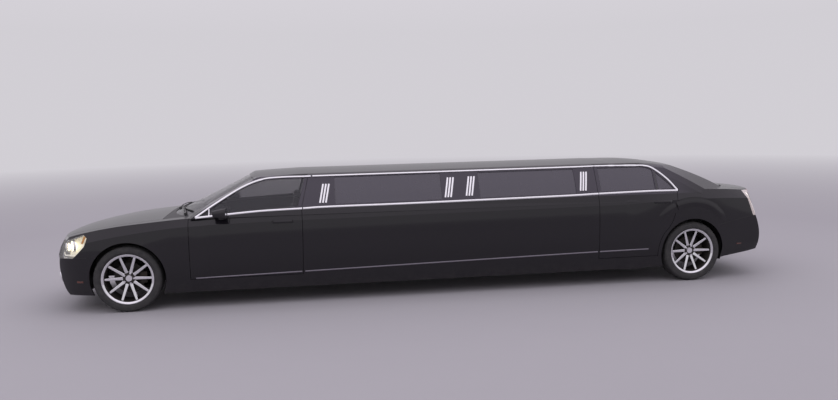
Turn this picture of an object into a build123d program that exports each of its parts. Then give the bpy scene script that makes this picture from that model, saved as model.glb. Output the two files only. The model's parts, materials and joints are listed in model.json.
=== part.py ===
from build123d import *
import os
from collections import namedtuple
from math import atan2, cos, radians, sin, tan

os.makedirs("parts", exist_ok=True)

# Stretch limousine, millimetres. The nose points to -X, the left (driver's) side to -Y, up is +Z.
# The origin is on the floor, midway along the length and the width.

# Driving sizes of the whole car
base_wheelbase = 3052
stretch = 3556
front_overhang = 870
rear_overhang = 1122
width = 1902
track = 1610
sill_height = 185

wheelbase = base_wheelbase + stretch
half_length = (front_overhang + wheelbase + rear_overhang) / 2
front_axle_x = -half_length + front_overhang
rear_axle_x = front_axle_x + wheelbase
half_width = width / 2
wheel_y = track / 2

# Wheels and steering
tyre_radius = 364
tyre_width = 245
rim_radius = 276
rim_depth = 226
kingpin_y = wheel_y - 90
arch_radius = 405
well_radius = 450
front_well_depth = 480
rear_well_depth = 650

# Panels
panel_gap = 5
skin = 34
top_skin = 26
end_skin = 44
pillar = 45
side_thickness = 140
glass_thickness = 6
glass_recess = 7
seat_clearance = 0.3

# Places of the seams
hood_back = front_axle_x + 370
hood_half = 748
hood_lip = 788
door_front = front_axle_x + 663
front_door_back = front_axle_x + 1897
rear_door_front = rear_axle_x - 1208
door_sill = 330
roof_half = 650
bumper_seam = 618
lamp_inner_y = 555
lid_front = rear_axle_x + 660
lid_half = 640
lid_bottom = 780
rear_seam = 776
belt_void = 1060
door_lean = 10

# Floor, structure and engine bay
floor_bottom = 200
floor_top = 235
tunnel_half = 140
tunnel_top = 320
sheet = 20
firewall = 15
firewall_x = door_front - 168
heel_x = rear_axle_x - 558
rear_floor_bottom = 400
rear_floor_top = 420
bulkhead_x = rear_axle_x + 152
shelf_z = 1040
radiator_x = front_axle_x - 630
apron_in = 440
apron_out = 460
apron_bottom = 330
apron_top = 780
liner = 12


def from_front(distance):
    return front_axle_x + distance


def from_rear(distance):
    return rear_axle_x + distance


# Cross-sections of the body below the glass. x is measured from the nearer axle, each y column is
# an inset from the half width and each z is a height above the floor.
BodyStation = namedtuple(
    "BodyStation",
    "x in_sill z_sill in_crease z_crease in_wide z_wide in_shoulder z_shoulder in_edge z_edge z_deck",
)
FRONT_STATIONS = [
    BodyStation(-900, 431, 30, 406, 195, 391, 375, 406, 465, 481, 560, 587),
    BodyStation(-700, 214, 21, 179, 195, 158, 404, 169, 522, 249, 620, 660),
    BodyStation(-500, 126, 11, 88, 198, 64, 438, 74, 573, 149, 680, 716),
    BodyStation(-290, 92, 5, 44, 199, 25, 466, 38, 617, 112, 723, 753),
    BodyStation(-70, 76, 2, 24, 200, 9, 495, 24, 655, 95, 755, 783),
    BodyStation(160, 68, 1, 19, 200, 4, 515, 18, 686, 82, 778, 805),
    BodyStation(400, 62, 0, 26, 200, 5, 533, 16, 713, 69, 799, 822),
    BodyStation(640, 58, 0, 26, 201, 3, 545, 14, 731, 58, 817, 838),
    BodyStation(870, 56, 0, 24, 202, 0, 556, 12, 742, 51, 833, 851),
]
DOOR_STATION = BodyStation(1430, 56, 0, 23, 205, 0, 565, 11, 754, 46, 871, 881)
REAR_STATIONS = [
    BodyStation(-878, 56, 0, 23, 215, 0, 575, 9, 787, 46, 927, 935),
    BodyStation(-588, 57, 3, 24, 218, 0, 578, 8, 804, 50, 933, 943),
    BodyStation(-298, 60, 8, 16, 222, 1, 582, 4, 819, 57, 937, 949),
    BodyStation(-8, 64, 20, 10, 225, 0, 585, 3, 825, 71, 937, 951),
    BodyStation(282, 72, 62, 20, 231, 6, 583, 11, 824, 94, 932, 949),
    BodyStation(572, 86, 108, 56, 238, 30, 576, 43, 815, 133, 916, 939),
    BodyStation(862, 116, 150, 86, 250, 60, 564, 88, 799, 210, 890, 918),
    BodyStation(1152, 231, 190, 203, 260, 181, 550, 231, 770, 371, 860, 885),
]


def body_section(station, x, inset, drop):
    """One closed cross-section, inset from the sides, dropped from the top and reaching lower."""
    y_sill = half_width - station.in_sill - inset
    y_crease = half_width - station.in_crease - inset
    y_wide = half_width - station.in_wide - inset
    y_shoulder = half_width - station.in_shoulder - inset
    y_edge = half_width - station.in_edge - inset
    z_sill = sill_height + station.z_sill - inset
    z_crease = sill_height + station.z_crease
    z_wide = sill_height + station.z_wide
    z_shoulder = sill_height + station.z_shoulder - drop / 2
    z_edge = sill_height + station.z_edge - drop
    z_deck = sill_height + station.z_deck - drop
    with BuildSketch(Plane.YZ.offset(x)) as sketch:
        with BuildLine():
            Line((-y_sill, z_sill), (y_sill, z_sill))
            for side in (1, -1):
                Line((side * y_sill, z_sill), (side * y_crease, z_crease))
                ThreePointArc(
                    (side * y_crease, z_crease), (side * y_wide, z_wide), (side * y_shoulder, z_shoulder)
                )
                Line((side * y_shoulder, z_shoulder), (side * y_edge, z_edge))
            ThreePointArc((-y_edge, z_edge), (0, z_deck), (y_edge, z_edge))
        make_face()
    return sketch.sketch


# Plan outlines of the nose and tail: one arc across the car at each height, sag being how far it
# falls back at the half width.
EndLevel = namedtuple("EndLevel", "z inset sag")
NOSE_LEVELS = [
    EndLevel(120, 170, 250), EndLevel(320, 26, 235), EndLevel(520, 0, 225),
    EndLevel(720, 34, 235), EndLevel(920, 180, 255), EndLevel(1120, 330, 290), EndLevel(1320, 480, 320),
]
TAIL_LEVELS = [
    EndLevel(120, 210, 265), EndLevel(320, 50, 240), EndLevel(520, 0, 240),
    EndLevel(720, 12, 270), EndLevel(920, 40, 345), EndLevel(1120, 80, 430), EndLevel(1320, 130, 520),
]


def end_form(levels, end, inset):
    """A block that reaches from the middle of the car to its nose (end -1) or tail (end 1)."""
    reach = half_width + 60
    with BuildPart() as form:
        for level in levels:
            tip = end * (half_length - level.inset - inset)
            corner = tip - end * level.sag * (reach / half_width) ** 2
            with BuildSketch(Plane.XY.offset(level.z)):
                with BuildLine():
                    ThreePointArc((corner, -reach), (tip, 0), (corner, reach))
                    Polyline((corner, reach), (-end * 500, reach), (-end * 500, -reach), (corner, -reach))
                make_face()
        loft()
    return form.part


def lower_form(inset, drop, end_inset):
    """The whole body below the glass."""
    front = [body_section(s, from_front(s.x), inset, drop) for s in FRONT_STATIONS]
    rear = [body_section(s, from_rear(s.x), inset, drop) for s in REAR_STATIONS]
    door = body_section(DOOR_STATION, from_front(DOOR_STATION.x), inset, drop)
    with BuildPart() as front_half:
        loft(front)
        loft([front[-1], door, rear[0]], ruled=True)
        split(bisect_by=Plane.YZ, keep=Keep.BOTTOM)
        add(end_form(NOSE_LEVELS, -1, end_inset), mode=Mode.INTERSECT)
    with BuildPart() as rear_half:
        loft(rear)
        loft([door, rear[0]], ruled=True)
        split(bisect_by=Plane.YZ, keep=Keep.TOP)
        add(end_form(TAIL_LEVELS, 1, end_inset), mode=Mode.INTERSECT)
    with BuildPart() as form:
        add(front_half)
        add(rear_half)
    return form.part


# Plan outlines of the glasshouse at three heights. Windscreen places are measured from the front
# axle and back-window places from the rear axle; side is the inset of the side glass.
GlassLevel = namedtuple(
    "GlassLevel", "z screen screen_y screen_sag foot window window_y window_sag tail side"
)
GLASS_LEVELS = [
    GlassLevel(1000, 400, 720, 210, 690, 862, 640, 170, 330, 16),
    GlassLevel(1210, 847, 640, 150, 1030, 487, 600, 120, 0, 103),
    GlassLevel(1420, 1280, 570, 110, 1430, -73, 560, 90, -370, 209),
    GlassLevel(1600, 1620, 510, 80, 1750, -640, 525, 65, -700, 316),
]


def screen_form(inset):
    """The glasshouse as far up as the roof, with its curved screens and leaning sides."""
    with BuildPart() as form:
        for level in GLASS_LEVELS:
            side = half_width - level.side - inset
            screen = from_front(level.screen) + inset
            foot = from_front(level.foot) + inset
            window = from_rear(level.window) - inset
            tail = from_rear(level.tail) - inset
            screen_y = level.screen_y - inset / 2
            window_y = level.window_y - inset / 2
            screen_corner = screen + level.screen_sag
            window_corner = window - level.window_sag
            with BuildSketch(Plane.XY.offset(level.z)):
                with BuildLine():
                    ThreePointArc((screen_corner, -screen_y), (screen, 0), (screen_corner, screen_y))
                    Line((screen_corner, screen_y), (foot, side))
                    Line((foot, side), (tail, side))
                    Line((tail, side), (window_corner, window_y))
                    ThreePointArc((window_corner, window_y), (window, 0), (window_corner, -window_y))
                    Line((window_corner, -window_y), (tail, -side))
                    Line((tail, -side), (foot, -side))
                    Line((foot, -side), (screen_corner, -screen_y))
                make_face()
        loft()
    return form.part


# Cross-sections of the roof. x is from the front axle in the first table, from the rear axle in
# the second.
RoofStation = namedtuple("RoofStation", "x z_top crown_y z_crown rail_y z_rail")
ROOF_FRONT = [
    RoofStation(390, 1300, 600, 1280, 745, 1250),
    RoofStation(660, 1330, 600, 1305, 745, 1270),
    RoofStation(930, 1380, 600, 1350, 745, 1310),
    RoofStation(1200, 1432, 600, 1398, 745, 1360),
    RoofStation(1470, 1460, 600, 1426, 745, 1386),
    RoofStation(1740, 1471, 600, 1440, 745, 1397),
    RoofStation(2010, 1477, 600, 1447, 745, 1403),
]
ROOF_REAR = [
    RoofStation(-978, 1490, 600, 1462, 745, 1420),
    RoofStation(-658, 1487, 600, 1458, 745, 1416),
    RoofStation(-338, 1466, 600, 1436, 745, 1392),
    RoofStation(-18, 1412, 600, 1382, 745, 1335),
    RoofStation(302, 1340, 600, 1306, 745, 1255),
    RoofStation(622, 1250, 600, 1212, 745, 1160),
    RoofStation(942, 1150, 600, 1110, 745, 1055),
]


eave_reach = 130
eave_depth = 480
rail_bulge = 9


def roof_section(station, x, drop):
    """One closed cross-section of the roof, dropped by drop and narrowed to suit."""
    eave_y = half_width + eave_reach
    eave_z = station.z_rail - eave_depth
    rail_y, rail_z = station.rail_y - drop / 2, station.z_rail - drop
    crown_y, crown_z = station.crown_y - drop / 2, station.z_crown - drop
    bend_z = (crown_z + rail_z) / 2 + rail_bulge
    with BuildSketch(Plane.YZ.offset(x)) as sketch:
        with BuildLine():
            Line((-eave_y, eave_z - drop), (eave_y, eave_z - drop))
            for side in (1, -1):
                Line((side * eave_y, eave_z - drop), (side * rail_y, rail_z))
                ThreePointArc(
                    (side * rail_y, rail_z),
                    (side * (crown_y + rail_y) / 2, bend_z),
                    (side * crown_y, crown_z),
                )
            ThreePointArc((-crown_y, crown_z), (0, station.z_top - drop), (crown_y, crown_z))
        make_face()
    return sketch.sketch


def roof_form(drop):
    front = [roof_section(s, from_front(s.x), drop) for s in ROOF_FRONT]
    rear = [roof_section(s, from_rear(s.x), drop) for s in ROOF_REAR]
    with BuildPart() as form:
        loft(front)
        loft([front[-1], rear[0]], ruled=True)
        loft(rear)
    return form.part


def glasshouse(inset):
    with BuildPart() as form:
        add(screen_form(inset))
        add(roof_form(inset * 0.8), mode=Mode.INTERSECT)
    return form.part


def block(x0, x1, y0, y1, z0, z1):
    """A plain block between two corners."""
    with BuildPart() as body:
        with BuildSketch(Plane.XY.offset(z0)):
            with Locations(((x0 + x1) / 2, (y0 + y1) / 2)):
                Rectangle(x1 - x0, y1 - y0)
        extrude(amount=z1 - z0)
    return body.part


# A corner of an outline; where mid is given, the edge to the next corner is an arc through it.
# lean marks corners that move forward with depth, so that a door swings clear of its frame.
Corner = namedtuple("Corner", "u v mid lean", defaults=(None, False))


def grown(corners, grow):
    """The corners moved outwards, so that every edge lies grow further out."""
    ends = corners[1:] + corners[:1]
    turn = sum(c.u * e.v - e.u * c.v for c, e in zip(corners, ends))
    outward = -1 if turn > 0 else 1
    leaving, arriving = [], []
    for corner, end in zip(corners, ends):
        chord = atan2(end.v - corner.v, end.u - corner.u)
        bend = atan2(corner.mid[1] - corner.v, corner.mid[0] - corner.u) - chord if corner.mid else 0
        leaving.append(chord + 2 * bend)
        arriving.append(chord - 2 * bend)
    moved = []
    for i, corner in enumerate(corners):
        before, after = arriving[i - 1], leaving[i]
        normal = (before + after) / 2 + outward * radians(90)
        reach = grow / cos((after - before) / 2)
        if cos((after - before) / 2) < 0:
            normal, reach = normal + radians(180), -reach
        mid = corner.mid
        if mid:
            chord = (leaving[i] + arriving[i]) / 2 + outward * radians(90)
            mid = (mid[0] + grow * cos(chord), mid[1] + grow * sin(chord))
        u, v = corner.u + reach * cos(normal), corner.v + reach * sin(normal)
        moved.append(Corner(u, v, mid, corner.lean))
    return moved


def outline(corners, plane, shift=0, grow=0):
    """The closed face inside the corners, grown or shrunk evenly."""
    corners = grown(corners, grow)
    with BuildSketch(plane) as sketch:
        with BuildLine():
            for corner, following in zip(corners, corners[1:] + corners[:1]):
                start = (corner.u - shift * corner.lean, corner.v)
                end = (following.u - shift * following.lean, following.v)
                if corner.mid:
                    ThreePointArc(start, (corner.mid[0] - shift * corner.lean, corner.mid[1]), end)
                else:
                    Line(start, end)
        make_face()
    return sketch.sketch


def side_prism(corners, y_out, y_in, grow=0):
    """An outline in side view, carried inwards from y_out to y_in."""
    lean = abs(y_out - y_in) * tan(radians(door_lean))
    faces = [outline(corners, Plane.XZ.offset(-y), shift, grow) for y, shift in ((y_out, 0), (y_in, lean))]
    with BuildPart() as prism:
        loft(faces, ruled=True)
    return prism.part


def front_prism(corners, x0, x1, grow=0):
    """An outline in front view, carried from x0 to x1."""
    with BuildPart() as prism:
        extrude(outline(corners, Plane.YZ.offset(x0), 0, grow), amount=x1 - x0)
    return prism.part


def plan_prism(corners, z0, z1, grow=0):
    """An outline in plan, carried from z0 to z1."""
    with BuildPart() as prism:
        extrude(outline(corners, Plane.XY.offset(z0), 0, grow), amount=z1 - z0)
    return prism.part


def cross_cylinder(x, z, radius, y0, y1):
    """A cylinder that lies across the car, from y0 to y1."""
    with BuildPart() as body:
        with BuildSketch(Plane.XZ.offset(-y0)):
            with Locations((x, z)):
                Circle(radius)
        extrude(amount=y0 - y1)
    return body.part


def minus(solid, *cutters):
    with BuildPart() as body:
        add(solid)
        for cutter in cutters:
            add(cutter, mode=Mode.SUBTRACT)
    return body.part


def within(solid, *limits):
    with BuildPart() as body:
        add(solid)
        for limit in limits:
            add(limit, mode=Mode.INTERSECT)
    return body.part


def joined(*solids):
    with BuildPart() as body:
        for solid in solids:
            add(solid)
    return body.part


def write(piece, label):
    """Write a finished piece under its label."""
    piece.label = label
    export_step(piece, f"parts/{label}.step")


def write_twin(piece, label):
    """Write the right-hand twin of a finished left-hand piece."""
    with BuildPart() as twin:
        add(piece)
        mirror(about=Plane.XZ, mode=Mode.REPLACE)
    twin.part.label = label
    export_step(twin.part, f"parts/{label}.step")


far = 3 * half_width
long = half_length + 400
left_of_roof = block(-long, long, -far, -roof_half, -50, 2000)

# The body's outer form, its thin inner form and the glasshouse at four depths
lower = lower_form(0, 0, 0)
lower_inner = lower_form(skin, top_skin, end_skin)
glasshouse_outer = glasshouse(0)
glasshouse_inner = glasshouse(pillar)
pane_shell = minus(glasshouse(glass_recess), glasshouse(glass_recess + glass_thickness))
glasshouse_shell = minus(glasshouse_outer, glasshouse_inner)

# Wheel arches and wells, cut from everything round the left wheels
arch_y = half_width - side_thickness
rear_well_radius = well_radius - 25


def wheel_well(x, radius, depth):
    return joined(
        cross_cylinder(x, tyre_radius, arch_radius, -half_width - 50, -arch_y),
        cross_cylinder(x, tyre_radius, radius, -arch_y, -depth),
    )


front_well = wheel_well(front_axle_x, well_radius, front_well_depth)
rear_well = wheel_well(rear_axle_x, rear_well_radius, rear_well_depth)

# Door outlines as they show on the body, with the window openings in them
front_door_outline = [
    Corner(door_front, door_sill),
    Corner(front_door_back, door_sill, lean=True),
    Corner(front_door_back + 8, 1075, lean=True),
    Corner(front_door_back + 128, 1434, lean=True),
    Corner(front_axle_x + 1690, 1436, (front_axle_x + 1500, 1424)),
    Corner(front_axle_x + 1330, 1385, (front_axle_x + 1030, 1240)),
    Corner(front_axle_x + 715, 1035),
    Corner(door_front, 985),
]
rear_door_outline = [
    Corner(rear_door_front, door_sill),
    Corner(rear_axle_x - 443, door_sill, (rear_axle_x - 428, 480), True),
    Corner(rear_axle_x - 372, 612, (rear_axle_x - 275, 740), True),
    Corner(rear_axle_x - 228, 900, None, True),
    Corner(rear_axle_x - 192, 1085, None, True),
    Corner(rear_axle_x - 157, 1122, (rear_axle_x - 285, 1290), True),
    Corner(rear_axle_x - 440, 1410, (rear_axle_x - 500, 1436), True),
    Corner(rear_axle_x - 590, 1446, None, True),
    Corner(rear_door_front, 1446),
]
door_window = [
    Corner(front_axle_x + 840, 1042),
    Corner(front_door_back - 42, 1094),
    Corner(front_door_back + 43, 1396),
    Corner(front_axle_x + 1690, 1396, (front_axle_x + 1490, 1382)),
    Corner(front_axle_x + 1290, 1322, (front_axle_x + 1050, 1190)),
]
rear_window = [
    Corner(rear_door_front + 45, 1134),
    Corner(rear_axle_x - 470, 1142),
    Corner(rear_axle_x - 470, 1368, (rear_axle_x - 560, 1402)),
    Corner(rear_axle_x - 650, 1408),
    Corner(rear_door_front + 45, 1408),
]
quarter_window = [
    Corner(rear_axle_x - 430, 1142),
    Corner(rear_axle_x - 232, 1142, (rear_axle_x - 325, 1240)),
    Corner(rear_axle_x - 430, 1338),
]
stretch_windows = [
    [Corner(x0, z0), Corner(x1, z1), Corner(x1, 1406), Corner(x0, 1400)]
    for x0, x1, z0, z1 in (
        (front_axle_x + 2275, front_axle_x + 3505, 1104, 1112),
        (front_axle_x + 3955, front_axle_x + 5135, 1114, 1124),
    )
]
y_out = -half_width - 20
y_in = -600


def window_prism(corners, grow=0):
    return side_prism(corners, y_out, y_in, grow)


# The left side of the body, thick as the doors along the cabin and thin beside the boot
cabin_y = half_width - side_thickness
cabin_back = rear_axle_x - 98
cabin_void = joined(
    block(front_axle_x + 500, cabin_back, -cabin_y, 0, 100, 1000),
    block(front_axle_x + 930, cabin_back, -cabin_y, 0, 990, belt_void),
    within(glasshouse_inner, block(-long, long, -far, 0, belt_void - 10, 2000)),
)
side_front = door_front - panel_gap / 2
boot_void = within(lower_inner, block(cabin_back, long, -far, 0, 0, 2000))
side_raw = joined(
    minus(within(lower, block(side_front, long, -far, -roof_half, 0, 2000)), cabin_void, boot_void),
    minus(within(glasshouse_shell, left_of_roof), cabin_void),
)
rear_door_plug = side_prism(rear_door_outline, y_out, y_in, -panel_gap / 2)
rear_door_hole = side_prism(rear_door_outline, y_out, y_in, panel_gap / 2)
front_door_plug = side_prism(front_door_outline, y_out, y_in, -panel_gap / 2)
front_door_hole = side_prism(front_door_outline, y_out, y_in, panel_gap / 2)

# Seams of hood, boot lid, bumpers and lamps
hood_outline = [
    Corner(-long, -545), Corner(front_axle_x - 650, -590, (front_axle_x - 430, -690)),
    Corner(front_axle_x - 190, -745), Corner(hood_back, -hood_half), Corner(hood_back, hood_half),
    Corner(front_axle_x - 190, 745, (front_axle_x - 430, 690)), Corner(front_axle_x - 650, 590),
    Corner(-long, 545),
]
lid_outline = [
    Corner(lid_front, -lid_half), Corner(long, -lid_half + 60), Corner(long, lid_half - 60),
    Corner(lid_front, lid_half),
]
headlamp_outline = [
    Corner(-long, 600), Corner(front_axle_x - 560, 612), Corner(front_axle_x - 432, 742),
    Corner(front_axle_x - 408, 825), Corner(front_axle_x - 450, 862), Corner(front_axle_x - 630, 800),
    Corner(-long, 745),
]
rear_bumper_outline = [
    Corner(rear_axle_x + 330, 0), Corner(long, 0), Corner(long, rear_seam),
    Corner(rear_axle_x + 812, rear_seam), Corner(rear_axle_x + 330, 680),
]
tail_lamp_outline = [
    Corner(rear_axle_x + 822, rear_seam), Corner(long, rear_seam), Corner(long, 1068),
    Corner(rear_axle_x + 716, 1082),
]
windscreen_outline = [
    Corner(-704, 1004), Corner(704, 1004), Corner(572, 1404, (0, 1426)), Corner(-572, 1404),
]
back_window_outline = [
    Corner(-592, 1124), Corner(592, 1124), Corner(530, 1384, (0, 1402)), Corner(-530, 1384),
]
grille_outline = [Corner(-455, 482), Corner(455, 482), Corner(430, 768), Corner(-430, 768)]
intake_outline = [Corner(-520, 290), Corner(520, 290), Corner(540, 395), Corner(-540, 395)]
fog_lamp_y = 690
fog_lamp_z = 392
fog_lamp_radius = 46
lamp_back = front_axle_x - 560

screen_x = (from_front(300), from_front(1380))
back_window_x = (rear_axle_x - 150, rear_axle_x + 800)
windscreen_hole = front_prism(windscreen_outline, *screen_x)
back_window_hole = front_prism(back_window_outline, *back_window_x)
hood_hole = plan_prism(hood_outline, hood_lip - panel_gap, 1400, panel_gap / 2)
lid_hole = plan_prism(lid_outline, lid_bottom - panel_gap, 1400, panel_gap / 2)
headlamp_block = minus(side_prism(headlamp_outline, -far, -lamp_inner_y), hood_hole)
tail_lamp_block = side_prism(tail_lamp_outline, -far, -lid_half - panel_gap / 2)
front_bumper_block = block(-long, front_axle_x - 300, -far, 0, 0, bumper_seam)
rear_bumper_block = side_prism(rear_bumper_outline, -far, 0)


def fog_lamp_hole(radius):
    with BuildPart() as hole:
        with BuildSketch(Plane.YZ.offset(-long)):
            with Locations((-fog_lamp_y, fog_lamp_z)):
                Circle(radius)
        extrude(amount=lamp_back + long)
    return hole.part


def pane(corners):
    """The window glass that sits inside an opening of the left side."""
    return within(pane_shell, window_prism(corners, -seat_clearance))


def hinge_leaf(x, y, z0, z1, length=36):
    """A leaf that fills the seam between a moving panel and its frame, up to its running clearance."""
    return block(x - panel_gap / 2, x + panel_gap / 2 - seat_clearance, y, y + length, z0, z1)


# Side frames: rocker, pillars, roof rail and rear quarter
with BuildPart() as side_frame_left:
    add(side_raw)
    post = block(firewall_x - firewall, door_front + 40, -half_width, -cabin_y, sill_height, 960)
    add(within(post, lower_inner))
    for hole in (
        front_door_hole, rear_door_hole, rear_well, windscreen_hole, lid_hole, tail_lamp_block,
        rear_bumper_block, *[window_prism(w) for w in stretch_windows],
    ):
        add(hole, mode=Mode.SUBTRACT)
    for seam in (door_front, rear_door_front):
        for z in (450, 780):
            add(hinge_leaf(seam, -half_width + 46, z, z + 70))
write(side_frame_left.part, "side_frame_left")
write_twin(side_frame_left.part, "side_frame_right")

# Doors with their window openings
with BuildPart() as front_door_left:
    add(side_raw)
    add(front_door_plug, mode=Mode.INTERSECT)
    add(window_prism(door_window), mode=Mode.SUBTRACT)
    add(front_prism(windscreen_outline, *screen_x, panel_gap), mode=Mode.SUBTRACT)
write(front_door_left.part, "front_door_left")
write_twin(front_door_left.part, "front_door_right")

with BuildPart() as rear_door_left:
    add(side_raw)
    add(rear_door_plug, mode=Mode.INTERSECT)
    add(window_prism(rear_window), mode=Mode.SUBTRACT)
    add(window_prism(quarter_window), mode=Mode.SUBTRACT)
write(rear_door_left.part, "rear_door_left")
write_twin(rear_door_left.part, "rear_door_right")

# Glass
with BuildPart() as front_door_glass_left:
    add(pane(door_window))
write(front_door_glass_left.part, "front_door_glass_left")
write_twin(front_door_glass_left.part, "front_door_glass_right")

with BuildPart() as rear_door_glass_left:
    add(pane(rear_window))
    add(pane(quarter_window))
write(rear_door_glass_left.part, "rear_door_glass_left")
write_twin(rear_door_glass_left.part, "rear_door_glass_right")

with BuildPart() as tinted_glass:
    for window in stretch_windows:
        add(pane(window))
    mirror(about=Plane.XZ)
    add(within(pane_shell, front_prism(back_window_outline, *back_window_x, -seat_clearance)))
write(tinted_glass.part, "tinted_glass")

with BuildPart() as windscreen:
    add(pane_shell)
    add(front_prism(windscreen_outline, *screen_x, -seat_clearance), mode=Mode.INTERSECT)
write(windscreen.part, "windscreen")

# Roof with its headers and the deck behind the rear window
with BuildPart() as roof_panel:
    add(glasshouse_shell)
    add(block(-long, long, -roof_half, roof_half, 1000, 2000), mode=Mode.INTERSECT)
    for hole in (windscreen_hole, back_window_hole, lid_hole, lower):
        add(hole, mode=Mode.SUBTRACT)
write(roof_panel.part, "roof_panel")

with BuildPart() as rear_deck:
    add(lower)
    deck_back = lid_front - panel_gap / 2
    add(block(rear_axle_x + 380, deck_back, -roof_half, roof_half, 1000, 1400), mode=Mode.INTERSECT)
    add(lower_inner, mode=Mode.SUBTRACT)
    add(glasshouse_outer, mode=Mode.SUBTRACT)
    for y in (-420, 384):
        add(block(deck_back, deck_back + panel_gap - seat_clearance, y, y + 36, 1110, 1122))
write(rear_deck.part, "rear_deck")

# Front end
with BuildPart() as cowl:
    add(lower)
    add(
        joined(
            block(hood_back + panel_gap / 2, side_front, -hood_half, hood_half, 900, 1100),
            block(side_front, front_axle_x + 830, -roof_half, roof_half, 900, 1100),
        ),
        mode=Mode.INTERSECT,
    )
    add(lower_inner, mode=Mode.SUBTRACT)
    add(glasshouse_outer, mode=Mode.SUBTRACT)
    cowl_front = hood_back + panel_gap / 2
    for y in (-520, 484):
        add(block(cowl_front - panel_gap + seat_clearance, cowl_front, y, y + 36, 983, 995))
write(cowl.part, "cowl")

with BuildPart() as front_fenders:
    add(lower)
    add(block(-long, side_front, -far, -lamp_inner_y, 0, 1500), mode=Mode.INTERSECT)
    add(lower_inner, mode=Mode.SUBTRACT)
    for hole in (
        block(hood_back, side_front, -hood_half, 0, 0, 1500), front_bumper_block,
        hood_hole, headlamp_block, front_well, glasshouse_outer,
    ):
        add(hole, mode=Mode.SUBTRACT)
    mirror(about=Plane.XZ)
write(front_fenders.part, "front_fenders")

with BuildPart() as hood:
    add(lower)
    add(plan_prism(hood_outline, hood_lip, 1400, -panel_gap / 2), mode=Mode.INTERSECT)
    add(lower_inner, mode=Mode.SUBTRACT)
write(hood.part, "hood")

with BuildPart() as front_bumper:
    add(lower)
    add(
        joined(
            front_bumper_block,
            block(-long, lamp_back, -lamp_inner_y, 0, bumper_seam - 20, hood_lip - panel_gap),
        ),
        mode=Mode.INTERSECT,
    )
    add(lower_inner, mode=Mode.SUBTRACT)
    for hole in (
        front_well, headlamp_block, hood_hole, fog_lamp_hole(fog_lamp_radius),
        front_prism(grille_outline, -long, lamp_back), front_prism(intake_outline, -long, lamp_back),
    ):
        add(hole, mode=Mode.SUBTRACT)
    mirror(about=Plane.XZ)
write(front_bumper.part, "front_bumper")

with BuildPart() as front_lamps:
    add(lower)
    add(joined(headlamp_block, fog_lamp_hole(fog_lamp_radius - seat_clearance)), mode=Mode.INTERSECT)
    add(lower_inner, mode=Mode.SUBTRACT)
    mirror(about=Plane.XZ)
write(front_lamps.part, "front_lamps")

grille_bars = 7
grille_frame = 20
grille_bar_height = 9
grille_height = grille_outline[2].v - grille_outline[0].v
bar_pitch = (grille_height - 2 * grille_frame) / (grille_bars + 1)
with BuildPart() as grille:
    add(lower)
    add(front_prism(grille_outline, -long, lamp_back, -seat_clearance), mode=Mode.INTERSECT)
    add(lower_inner, mode=Mode.SUBTRACT)
    gaps = front_prism(grille_outline, -long, lamp_back, -grille_frame)
    for i in range(grille_bars):
        z = grille_outline[0].v + grille_frame + bar_pitch * (i + 1)
        gaps = minus(gaps, block(-long, 0, -far, far, z - grille_bar_height / 2, z + grille_bar_height / 2))
    add(gaps, mode=Mode.SUBTRACT)
write(grille.part, "grille")

# Tail, with the number plate's seat on the lid
plate_x = rear_axle_x + 1100
plate_z = 930
plate_half = 165
plate_hole_pitch = (178, 121)
plate_hole_radius = 3.2
with BuildPart() as boot_lid:
    add(lower)
    add(plan_prism(lid_outline, lid_bottom, 1400, -panel_gap / 2), mode=Mode.INTERSECT)
    add(lower_inner, mode=Mode.SUBTRACT)
    add(block(plate_x - 60, plate_x, -plate_half, plate_half, plate_z - 80, plate_z + 80))
    with BuildSketch(Plane.YZ.offset(plate_x)):
        with Locations((0, plate_z)):
            with GridLocations(plate_hole_pitch[0], plate_hole_pitch[1], 2, 2):
                Circle(plate_hole_radius)
    extrude(amount=-20, mode=Mode.SUBTRACT)
write(boot_lid.part, "boot_lid")

with BuildPart() as tail_lamps:
    add(lower)
    add(tail_lamp_block, mode=Mode.INTERSECT)
    add(lower_inner, mode=Mode.SUBTRACT)
    mirror(about=Plane.XZ)
write(tail_lamps.part, "tail_lamps")

with BuildPart() as rear_bumper:
    add(lower)
    add(rear_bumper_block, mode=Mode.INTERSECT)
    add(lower_inner, mode=Mode.SUBTRACT)
    add(rear_well, mode=Mode.SUBTRACT)
    add(lid_hole, mode=Mode.SUBTRACT)
    mirror(about=Plane.XZ)
write(rear_bumper.part, "rear_bumper")

# Floor with tunnel, heel board, boot floor, bulkhead and parcel shelf
floor_end = rear_axle_x - rear_well_radius - liner
with BuildPart() as floor_pan:
    add(block(firewall_x, heel_x + sheet, -cabin_y, cabin_y, floor_bottom, floor_top))
    add(block(firewall_x, heel_x, -tunnel_half, tunnel_half, floor_bottom, tunnel_top))
    add(block(heel_x, heel_x + sheet, -cabin_y, cabin_y, floor_bottom, rear_floor_top))
    add(block(heel_x, floor_end, -cabin_y, cabin_y, rear_floor_bottom, rear_floor_top))
    rear_half = rear_well_depth - liner
    add(within(block(heel_x, long, -rear_half, rear_half, rear_floor_bottom, rear_floor_top), lower_inner))
    add(block(bulkhead_x, bulkhead_x + firewall, -rear_half, rear_half, rear_floor_bottom, shelf_z))
    shelf = block(bulkhead_x, lid_front - 18, -half_width, half_width, shelf_z, shelf_z + firewall)
    add(within(shelf, lower_inner, glasshouse_inner))
    tunnel_in = tunnel_half - sheet
    tunnel = block(firewall_x - 100, heel_x + 100, -tunnel_in, tunnel_in, 0, tunnel_top - sheet)
    add(tunnel, mode=Mode.SUBTRACT)
    for x in (front_axle_x + 800, rear_axle_x - 700):
        for y in (-770, 770):
            add(block(x - 30, x + 30, y - 30, y + 30, floor_bottom - 12, floor_bottom))
write(floor_pan.part, "floor_pan")

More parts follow.
